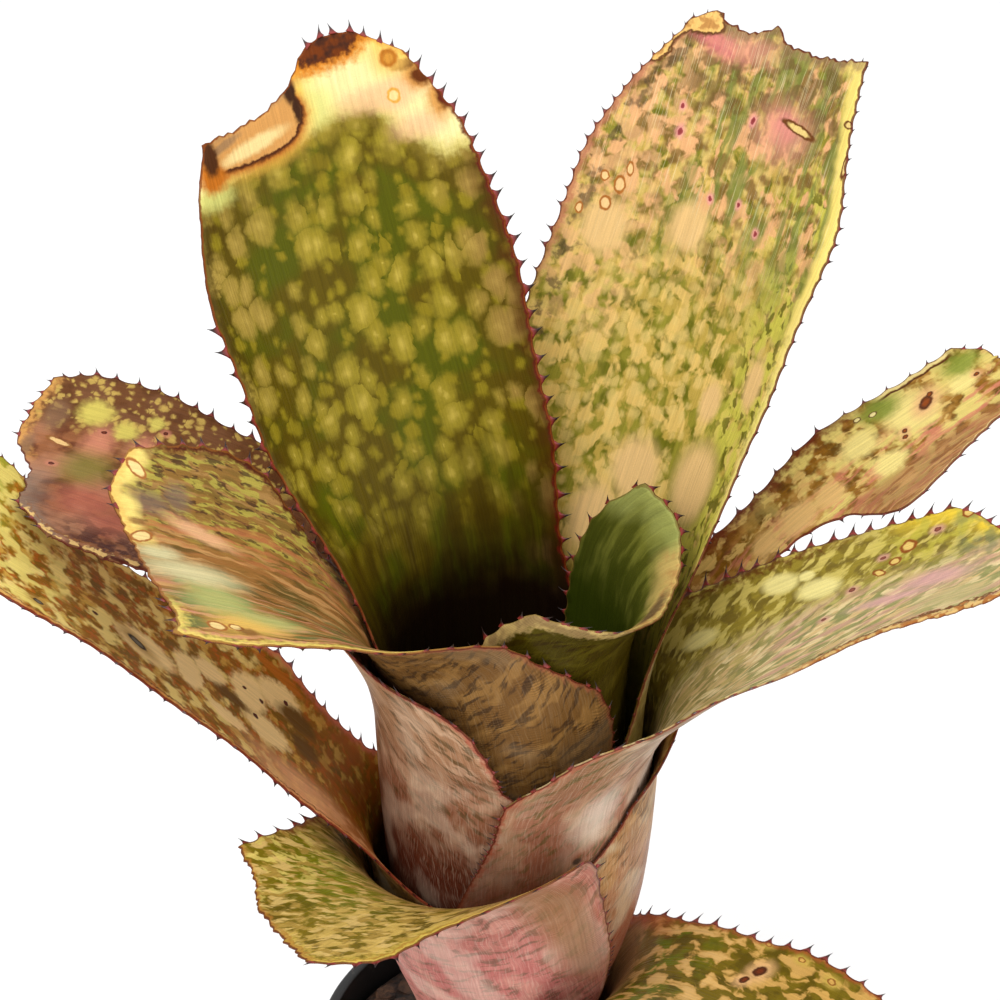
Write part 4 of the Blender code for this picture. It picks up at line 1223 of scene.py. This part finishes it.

# %% [markdown]
# ### The low leaves
# The long left one is rust brown with big ragged cream patches and a few black wounds. The front one is
# olive, striped lengthwise with narrow cream flecks, and its sheath is rose pink under a silver weave.
# The low right one is olive with cream blobs and turns orange-pink where it leaves the pot.

# %% Recipes of the low leaves
# The coat #2c1408 at low 0 is painted shade where the leaf goes under the sheaths above it.
RECIPES["low_left"] = """
ground #946014
#78580a .8 clouds .8 .42 .62 detail=3
#b8601c .7 clouds .25 .5 .64 seed=4 detail=2
#d0a650 .8 clouds .42 .5 .66 seed=8 detail=3
#ecd48c .95 clouds .66 .48 .62 seed=3 detail=3 & high 5 2
#a8ae3e .85 high 13.2 1.4 & left .5 -.5
#e6d480 .85 high 11.6 1.4 & clouds .6 .48 .58 seed=9
patches #f2d6a4 soft=.5 ragged=.95 at -.55 5.6 .7 .6 / -1.2 4.6 .5 .75 / .9 9 .6 .9 / .5 7.6 .7 .45 / .4 5
  .5 .8 / -.2 6.9 .4 .5 / 1.2 6.4 .3 .7
patches #6e4c14 soft=.8 ragged=.8 at -.9 3.9 .35 .7 / -.1 3.6 .4 .5 / .2 6.2 .25 .6
#e0a884 .8 low 5.4 3 & left .7 1.6
#a05a20 .8 low 2.8 2 & clouds .6 .38 .6 seed=7 detail=2
#2c1408 .9 low 0 1.6
#cc6e5c .9 edge .32 .4 .95 & left -1 -1.6 & low 6.6 1.5
patches #b46a20 turn=-14 soft=.4 ragged=.35 at -1.95 4.7 .16 .9
wounds #33241a #6a625c halo=#b08a4c line=.45 at .93 9.26 .12 .24 -24 / 2.15 12.16 .08 .11 0
wounds #4a1c14 #5a241c line=.6 at -.6 5.16 .05 .06 0 / .16 5.36 .06 .07 0 / -.62 5.75 .04 .05 0 / .9 10.5
  .05 .07 0 / -1.2 4.36 .06 .06 0
#c07c50 .7 edge .3 .6 .9 & left 1 1.6
#54301a .8 line .16 .06 stray=.3 wobble=.3 & left 1 1.6
#6c1e18 .85 edge .06 .7 .7
outside #84602e #a8855a #553a1c #a07060 -1 seed=6 shine=.3
dry .5 rows=.3 gloss=.02
"""

# The coat #3c1a12 at low -.6 is painted shade where the leaf goes under the sheaths above it.
RECIPES["low_front"] = """
ground #746418
#5a4a12 .75 clouds .9 .42 .62
patches #737c10 soft=1.6 amount=.8 at .2 4.2 1.5 1.2
#a88c48 .9 streaks .2 .5 .46 .6 angle=-55 seed=2
#d0b478 .9 streaks .16 .6 .52 .63 angle=-40 seed=6
#d2c272 .8 streaks .22 .45 .52 .62 angle=-55 seed=4 & left .6 -.6 & high 3.6 2
#c9ac64 .8 streaks .22 .5 .5 .62 angle=-30 seed=9 & left .6 1.6
#c9b058 .8 edge .4 .7 .95 & left .8 1.6
#a8803c .8 line .12 .08 stray=.3 wobble=.3 & left .6 1.2
#c09468 .85 low 3.4 2 & streaks .2 2 .42 .62 seed=3
#844430 .8 edge .3 .7 .95 & left -1 -1.8 & low 4.6 2
#a87434 .8 tip .16 .8 .9
#3c1a12 .9 low -.6 2.4
#5e2a14 .85 edge .05 .7 .7
outside #a86c68 #c99490 #6e5248 #b4686e 1.4 seed=1 bloom=#e0cccc shine=.32 slant=76 margin=#9c705a
patches #8c6a4c turn=-12 soft=1.4 amount=.75 at 4.6 1.6 .7 2.2
dry .38 rows=.6
"""

# The coat #5a2a20 at low -.6 is painted shade where the leaf goes under the sheaths above it.
RECIPES["low_right"] = """
ground #6e5e14
#54460c .8 clouds .6 .44 .62 detail=3
#66780f .7 clouds .6 .46 .62 seed=3 & low 3.4 2
#c49c5c .9 streaks .4 .6 .48 .58 seed=4 bend=.5
#d2ae78 .8 streaks .4 .6 .54 .66 seed=4 bend=.5 & low 5 3
#c89c74 .85 low 1.4 1.6
#cf6a50 .85 edge .8 .5 .98 & low 2 1.6
wounds #4a2412 #6a3018 halo=#dcb088 line=.6 at 1.09 4.96 .1 .15 60 / .65 4.76 .07 .11 60
wounds #8a5a2a #c9a05c halo=#b8a050 line=.45 at 1.93 4.76 .06 .08 0 / 1.75 6.6 .07 .09 0 / 1.9 5.7 .06 .08 0
#a04e30 .75 edge .2 .6 .95
#5c2414 .85 edge .06 .7 .7
#5a2a20 .8 low -.6 1.6
outside #b46c70 #cf969a #844c50 #b06468 2 seed=9 bloom=#e6d0d2 shine=.4 margin=#a8564c
dry .4 rows=.5
"""

# %% [markdown]
# Now every leaf is made, painted and given its spines.
# The spines share one material: dark red where they grow out of the margin and nearly black at the needle.

# %% Make the leaves and their spines
def paint_spines():
    wires = Finish("spine")
    dark = wires.step(wires.kept("height"), 0.0, 0.6)
    return wires.done(wires.mixed(dark, linear("#8c2a24"), linear("#1c0a0a")), 0.5 - dark * 0.15)


spine_material = paint_spines()
for leaf in LEAVES:
    blade, rib, teeth, outward = make_leaf(leaf)
    spines = make_spines(leaf, rib, teeth, outward)
    blade.data.materials.append(Recipe(leaf.short).follow(RECIPES[leaf.short]))
    spines.data.materials.append(spine_material)
    print(blade.name, 2 * len(blade.data.polygons), "triangles,", len(teeth), "spines")

# %% [markdown]
# ## The pot
# A nursery pot is blown or moulded in one thin wall, with a stepped band and a rolled rim for stacking.
# It is a profile turned round the upright axis. Every corner of the profile is replaced by a short curve,
# because real moulded plastic has no knife edge and its round corners are what catch the light.

# %% Turned pieces
TURN_SIDES = 160


def rounded(profile, radius, steps=5):
    """Each inner corner becomes a curve that leaves one side and meets the next, radius from the corner.

    The curve is (1-t)^2 times its start, 2t(1-t) times the corner and t^2 times its end.
    """
    profile = np.array(profile, float)
    corner = profile[1:-1]
    ends = []
    for way in (profile[:-2] - corner, profile[2:] - corner):
        reach = np.minimum(radius, 0.45 * np.linalg.norm(way, axis=1))[:, None]
        ends.append((corner + reach * unit(way))[:, None])
    t = np.linspace(0, 1, steps)[None, :, None]
    curve = (1 - t) ** 2 * ends[0] + 2 * t * (1 - t) * corner[:, None] + t * t * ends[1]
    return np.concatenate([profile[:1], curve.reshape(-1, 2), profile[-1:]])


def turned(name, profile, sides=TURN_SIDES, lift=None, centre=(0.0, 0.0)):
    """A profile of (radius, height) turned round an upright axis. Its first and last points are poles."""
    radius, height = profile[1:-1].T[..., None]
    angle = np.arange(sides) * 2 * np.pi / sides
    ring = np.stack([radius * np.cos(angle), radius * np.sin(angle), np.tile(height, sides)], -1)
    if lift:
        ring[:, :, 2] += lift(ring[:, :, 0], ring[:, :, 1], radius, height)
    poles = np.array([[0, 0, profile[0, 1]], [0, 0, profile[-1, 1]]])
    points = np.concatenate([ring.reshape(-1, 3), poles]) + [*centre, 0]
    walls, bottom, top = pile_faces(len(radius), sides)
    first, last, pole = bottom[0, ::-1], top[0], np.full(sides, len(points) - 1)
    under = np.stack([pole - 1, np.roll(first, -1), first], 1)
    over = np.stack([pole, last, np.roll(last, -1)], 1)
    return add_mesh(name, points, [walls, under, over])


# %% The pot
POT_HEIGHT = 90.0
POT_RIM_RADIUS = 52.5
POT_RIM_WIDTH = 3
POT_BAND_RADIUS = 50.6
POT_TOP_RADIUS = 48.6
POT_FOOT_RADIUS = 36.0
POT_STEP_HEIGHT = 72.0
POT_BAND_HEIGHT = 74.0
POT_LIP_HEIGHT = 87.0
POT_LIP_SLOPE = 0.8
POT_WALL = 1.4
POT_FLOOR = 2.0
POT_CORNERS = 1.0
DRAIN_HOLES = 6
DRAIN_RADIUS = 4.0
DRAIN_RING = 24.0
DRAIN_TURN = 24.0
SHARP_ANGLE = 35.0


def wall_radius(height):
    """The pot's outer radius below its band."""
    return POT_FOOT_RADIUS + (POT_TOP_RADIUS - POT_FOOT_RADIUS) * height / POT_HEIGHT


pot_profile = [
    (0, 0), (POT_FOOT_RADIUS, 0), (wall_radius(POT_STEP_HEIGHT), POT_STEP_HEIGHT),
    (POT_BAND_RADIUS, POT_BAND_HEIGHT), (POT_BAND_RADIUS, POT_LIP_HEIGHT - POT_LIP_SLOPE),
    (POT_RIM_RADIUS, POT_LIP_HEIGHT), (POT_RIM_RADIUS, POT_HEIGHT),
    (POT_RIM_RADIUS - POT_RIM_WIDTH, POT_HEIGHT),
    (POT_BAND_RADIUS - POT_WALL, POT_BAND_HEIGHT + POT_WALL),
    (wall_radius(POT_STEP_HEIGHT) - POT_WALL, POT_STEP_HEIGHT - POT_WALL / 2),
    (wall_radius(POT_FLOOR) - POT_WALL, POT_FLOOR), (0, POT_FLOOR),
]
pot = turned("pot_shell", rounded(pot_profile, POT_CORNERS))
drill_profile = np.array([(0, -1), (DRAIN_RADIUS, -1), (DRAIN_RADIUS, 2), (0, 2)], float) * [1, POT_FLOOR]
drills = []
for bearing in np.radians(DRAIN_TURN + np.arange(DRAIN_HOLES) * 360 / DRAIN_HOLES):
    centre = (DRAIN_RING * np.cos(bearing), DRAIN_RING * np.sin(bearing))
    drills.append(turned(f"drill_{len(drills)}", drill_profile, sides=32, centre=centre))
    cut = pot.modifiers.new(drills[-1].name, "BOOLEAN")
    cut.operation = "DIFFERENCE"
    cut.object = drills[-1]
shell = bpy.data.meshes.new_from_object(pot.evaluated_get(bpy.context.evaluated_depsgraph_get()))
pot.modifiers.clear()
pot.data = shell
shell.set_sharp_from_angle(angle=np.radians(SHARP_ANGLE))
for drill in drills:
    bpy.data.objects.remove(drill)
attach(pot, "root")
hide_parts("pot")
print("pot:", len(shell.polygons), "faces,", DRAIN_HOLES, "drain holes")

# %% [markdown]
# The plastic is black and satin. It isn't evenly glossy: handling leaves duller patches, and potting
# leaves pale dust on it. Both come from noise on the piece's own coordinates.

# %% Black plastic
def black_plastic():
    wires = Finish("black_plastic")
    at = wires.node("TexCoord", out="Object")
    worn = wires.noise(at, 45.0, 4.0, flat="3D")
    dust = wires.noise(at, 420.0, 3.0, flat="3D")
    grain = wires.noise(at, 900.0, flat="3D")
    colour = wires.mixed(wires.step(dust, 0.62, 0.78) * 0.35, linear("#141414"), linear("#4a443c"))
    return wires.done(colour, worn * 0.3 + 0.26, grain, 0.12, 0.0003)


pot.data.materials.clear()
pot.data.materials.append(black_plastic())

# %% [markdown]
# ## The bark mix
# Epiphytes are potted in chipped bark. The body of the mix is a turned solid with a lumpy top, and a
# few hundred loose chips lie on it. The lumps are a sum of waves in random directions, which is the
# cheapest noise that numpy can give and stays smooth at any scale.

# %% The mix
FIT_GAP = 0.3
SOIL_TOP = 80.8
SOIL_BRIM_GAP = 0.7
BRIM_RISE = 5.3
BRIM_SLOPE = 1.5
STEM_RADIUS = 9.0
STEM_FOOT = 40.0
LUMP_HEIGHT = 0.9
LUMP_WAVES = 40
LUMP_LENGTHS = (3.0, 14.0)
TOP_RINGS = 44


def lumps(x, y, radius, height):
    """Random waves added up: sine of place dot direction plus phase, kept to the top face by its height."""
    rng = np.random.default_rng(41)
    limits = ((0, 2 * np.pi), LUMP_LENGTHS, (0, 2 * np.pi))
    draws = (rng.uniform(low, high, LUMP_WAVES) for low, high in limits)
    total = np.zeros_like(x)
    for bearing, length, phase in zip(*draws):
        along = x * np.cos(bearing) + y * np.sin(bearing)
        total += np.sin(along * 2 * np.pi / length + phase) * length / LUMP_LENGTHS[1]
    top = np.clip(height - (SOIL_TOP - 1), 0, 1) * np.clip((radius - STEM_RADIUS - 2) / 6, 0, 1)
    return total * top * LUMP_HEIGHT / np.sqrt(LUMP_WAVES / 6)


wall_gap = POT_WALL + FIT_GAP
brim = POT_BAND_RADIUS - POT_WALL - SOIL_BRIM_GAP
hole = STEM_RADIUS + FIT_GAP
mix_floor = POT_FLOOR + FIT_GAP
mix_profile = [
    (0, mix_floor), (wall_radius(POT_FLOOR) - wall_gap, mix_floor),
    (wall_radius(POT_STEP_HEIGHT) - wall_gap, POT_STEP_HEIGHT - POT_WALL / 2),
    (brim, POT_STEP_HEIGHT + BRIM_RISE), (brim, SOIL_TOP - 2),
    *((radius, SOIL_TOP) for radius in np.linspace(brim - BRIM_SLOPE, hole, TOP_RINGS)),
    (hole, STEM_FOOT - FIT_GAP), (0, STEM_FOOT - FIT_GAP),
]
mix = turned("bark_mix", np.array(mix_profile, float), sides=180, lift=lumps)
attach(mix, "root")
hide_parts("soil")
print("bark mix:", len(mix.data.polygons), "faces")

# %% Loose chips
CHIPS = 380
CHIP_CORNERS = 7
CHIP_LEVELS = np.array([-1.0, -0.75, 0.75, 1.0])[:, None]
CHIP_WAIST = np.array([0.8, 1.0, 0.96, 0.72])[:, None]
CHIP_RING = (25.5, 45.0)


def loose_chips():
    """Flat broken blocks: a ring of uneven corners at four levels, then each block tilted and turned."""
    rng = np.random.default_rng(77)

    def draw(low, high, corners=1):
        return rng.uniform(low, high, (CHIPS, 1, corners))

    long = draw(1.6, 5.0)
    wide = long * draw(0.35, 0.75)
    thick = draw(0.5, 1.3)
    angle = np.arange(CHIP_CORNERS) * 2 * np.pi / CHIP_CORNERS
    uneven = draw(0.7, 1.15, CHIP_CORNERS) * CHIP_WAIST
    x, y = np.cos(angle) * uneven * long, np.sin(angle) * uneven * wide
    z = CHIP_LEVELS * thick * draw(0.8, 1.2, CHIP_CORNERS)
    z = z + 0.12 * x * draw(-1, 1)
    turn, tilt = draw(0, 2 * np.pi), draw(-0.45, 0.45)
    y, z = y * np.cos(tilt) - z * np.sin(tilt), y * np.sin(tilt) + z * np.cos(tilt)
    x, y = x * np.cos(turn) - y * np.sin(turn), x * np.sin(turn) + y * np.cos(turn)
    ring = np.sqrt(draw(CHIP_RING[0] ** 2, CHIP_RING[1] ** 2))
    bearing = draw(0, 2 * np.pi)
    height = SOIL_TOP + thick * draw(0.0, 1.0)
    points = np.stack([x + ring * np.cos(bearing), y + ring * np.sin(bearing), z + height], -1).reshape(-1, 3)
    walls, bottom, top = pile_faces(len(CHIP_LEVELS), CHIP_CORNERS)
    corners = len(CHIP_LEVELS) * CHIP_CORNERS
    faces = [for_copies(part, CHIPS, corners) for part in (walls, top, bottom)]
    return add_mesh("bark_chips", points, faces, {"tone": np.repeat(draw(0, 1), corners)})


chips = loose_chips()
chips.data.set_sharp_from_angle(angle=np.radians(SHARP_ANGLE))
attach(chips, "root")
print("chips:", CHIPS)

# %% [markdown]
# Damp bark is nearly black in its pores and red-brown on its broken faces. One recipe makes a material
# for the mix and one for the chips, whose tone attribute is different for each chip. The stem is pale
# brown, with rings where older leaves have dropped.

# %% Bark and stem materials
def bark(name, dark, middle, light=None):
    wires = Finish(name)
    grain = wires.noise(wires.node("TexCoord", out="Object"), 260.0, 5.0, 0.65, "3D")
    colour = wires.mixed(wires.step(grain, 0.35, 0.6), linear(dark), linear(middle))
    if light:
        share = wires.step(wires.kept("tone"), 0.35, 1.0) * wires.step(grain, 0.4, 0.65)
        colour = wires.mixed(share, colour, linear(light))
    return wires.done(colour, 0.95 - grain * 0.35, grain, 0.7, 0.0008)


def scarred_stem():
    """Rings: a sine of height, bent a little by noise."""
    wires = Finish("scarred_stem")
    at = wires.node("TexCoord", out="Object")
    _, _, z = wires.split(at)
    blur = wires.noise(at, 220.0, 4.0, flat="3D")
    share = wires.step(wires.math("SINE", z * 1800.0 + blur * 4.0), -0.6, 0.9)
    colour = wires.mixed(share, linear("#6b4c2e"), linear("#a98a60"))
    return wires.done(colour, blur * 0.3 + 0.6, share, 0.5, 0.0006)


mix.data.materials.append(bark("bark_mix", "#140c07", "#3a2414"))
chips.data.materials.append(bark("bark_chip", "#24150c", "#4a2f1b", "#83603e"))
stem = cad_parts["stem"]
stem.data.materials.clear()
stem.data.materials.append(scarred_stem())
print("materials:", len(bpy.data.materials))

# %% [markdown]
# ## Floor, light and camera
# The plant was photographed in white, even studio light, so a white floor, a bright white world and two
# large soft lamps are enough. The camera looks down by 32 degrees from the front, far enough away to
# flatten the leaves as a portrait lens does. Colours are shown as they are, without a film curve.

# %% The studio
FLOOR_HALF = 3.0
CAMERA_PLACE = (-0.00299, -0.46727, 0.55423)
CAMERA_TILT = 58.0
CAMERA_LENS = 85.0
LAMPS_FACE = Vector((0, 0, 0.2))
LAMPS = {
    "key_lamp": ((-0.5, -0.7, 1.3), 0.9, 10.0),
    "fill_lamp": ((0.9, -0.6, 0.9), 1.0, 5.0),
}

corners = np.array([(-1, -1, 0), (1, -1, 0), (1, 1, 0), (-1, 1, 0)]) * FLOOR_HALF / MM
ground = add_mesh("studio_floor", corners, [np.array([[0, 1, 2, 3]])])
ground.data.materials.append(Finish("white_floor").done((0.97, 0.97, 0.97, 1), 0.8))

for name, (place, size, power) in LAMPS.items():
    light = bpy.data.lights.new(name, "AREA")
    light.size = size
    light.energy = power
    lamp = linked(name, light)
    lamp.location = place
    lamp.rotation_euler = (LAMPS_FACE - Vector(place)).to_track_quat("-Z", "Y").to_euler()
world = bpy.data.worlds.new("studio")
world.use_nodes = True
world.node_tree.nodes["Background"].inputs["Color"].default_value = (1, 1, 1, 1)
world.node_tree.nodes["Background"].inputs["Strength"].default_value = 0.95
bpy.context.scene.world = world
bpy.context.scene.view_settings.view_transform = "Standard"

lens = bpy.data.cameras.new("camera")
lens.lens = CAMERA_LENS
camera = linked("camera", lens)
camera.location = CAMERA_PLACE
camera.rotation_euler = (np.radians(CAMERA_TILT), 0, 0)
bpy.context.scene.camera = camera
print("lamps:", ", ".join(LAMPS), "and a camera with a lens of", CAMERA_LENS, "mm")
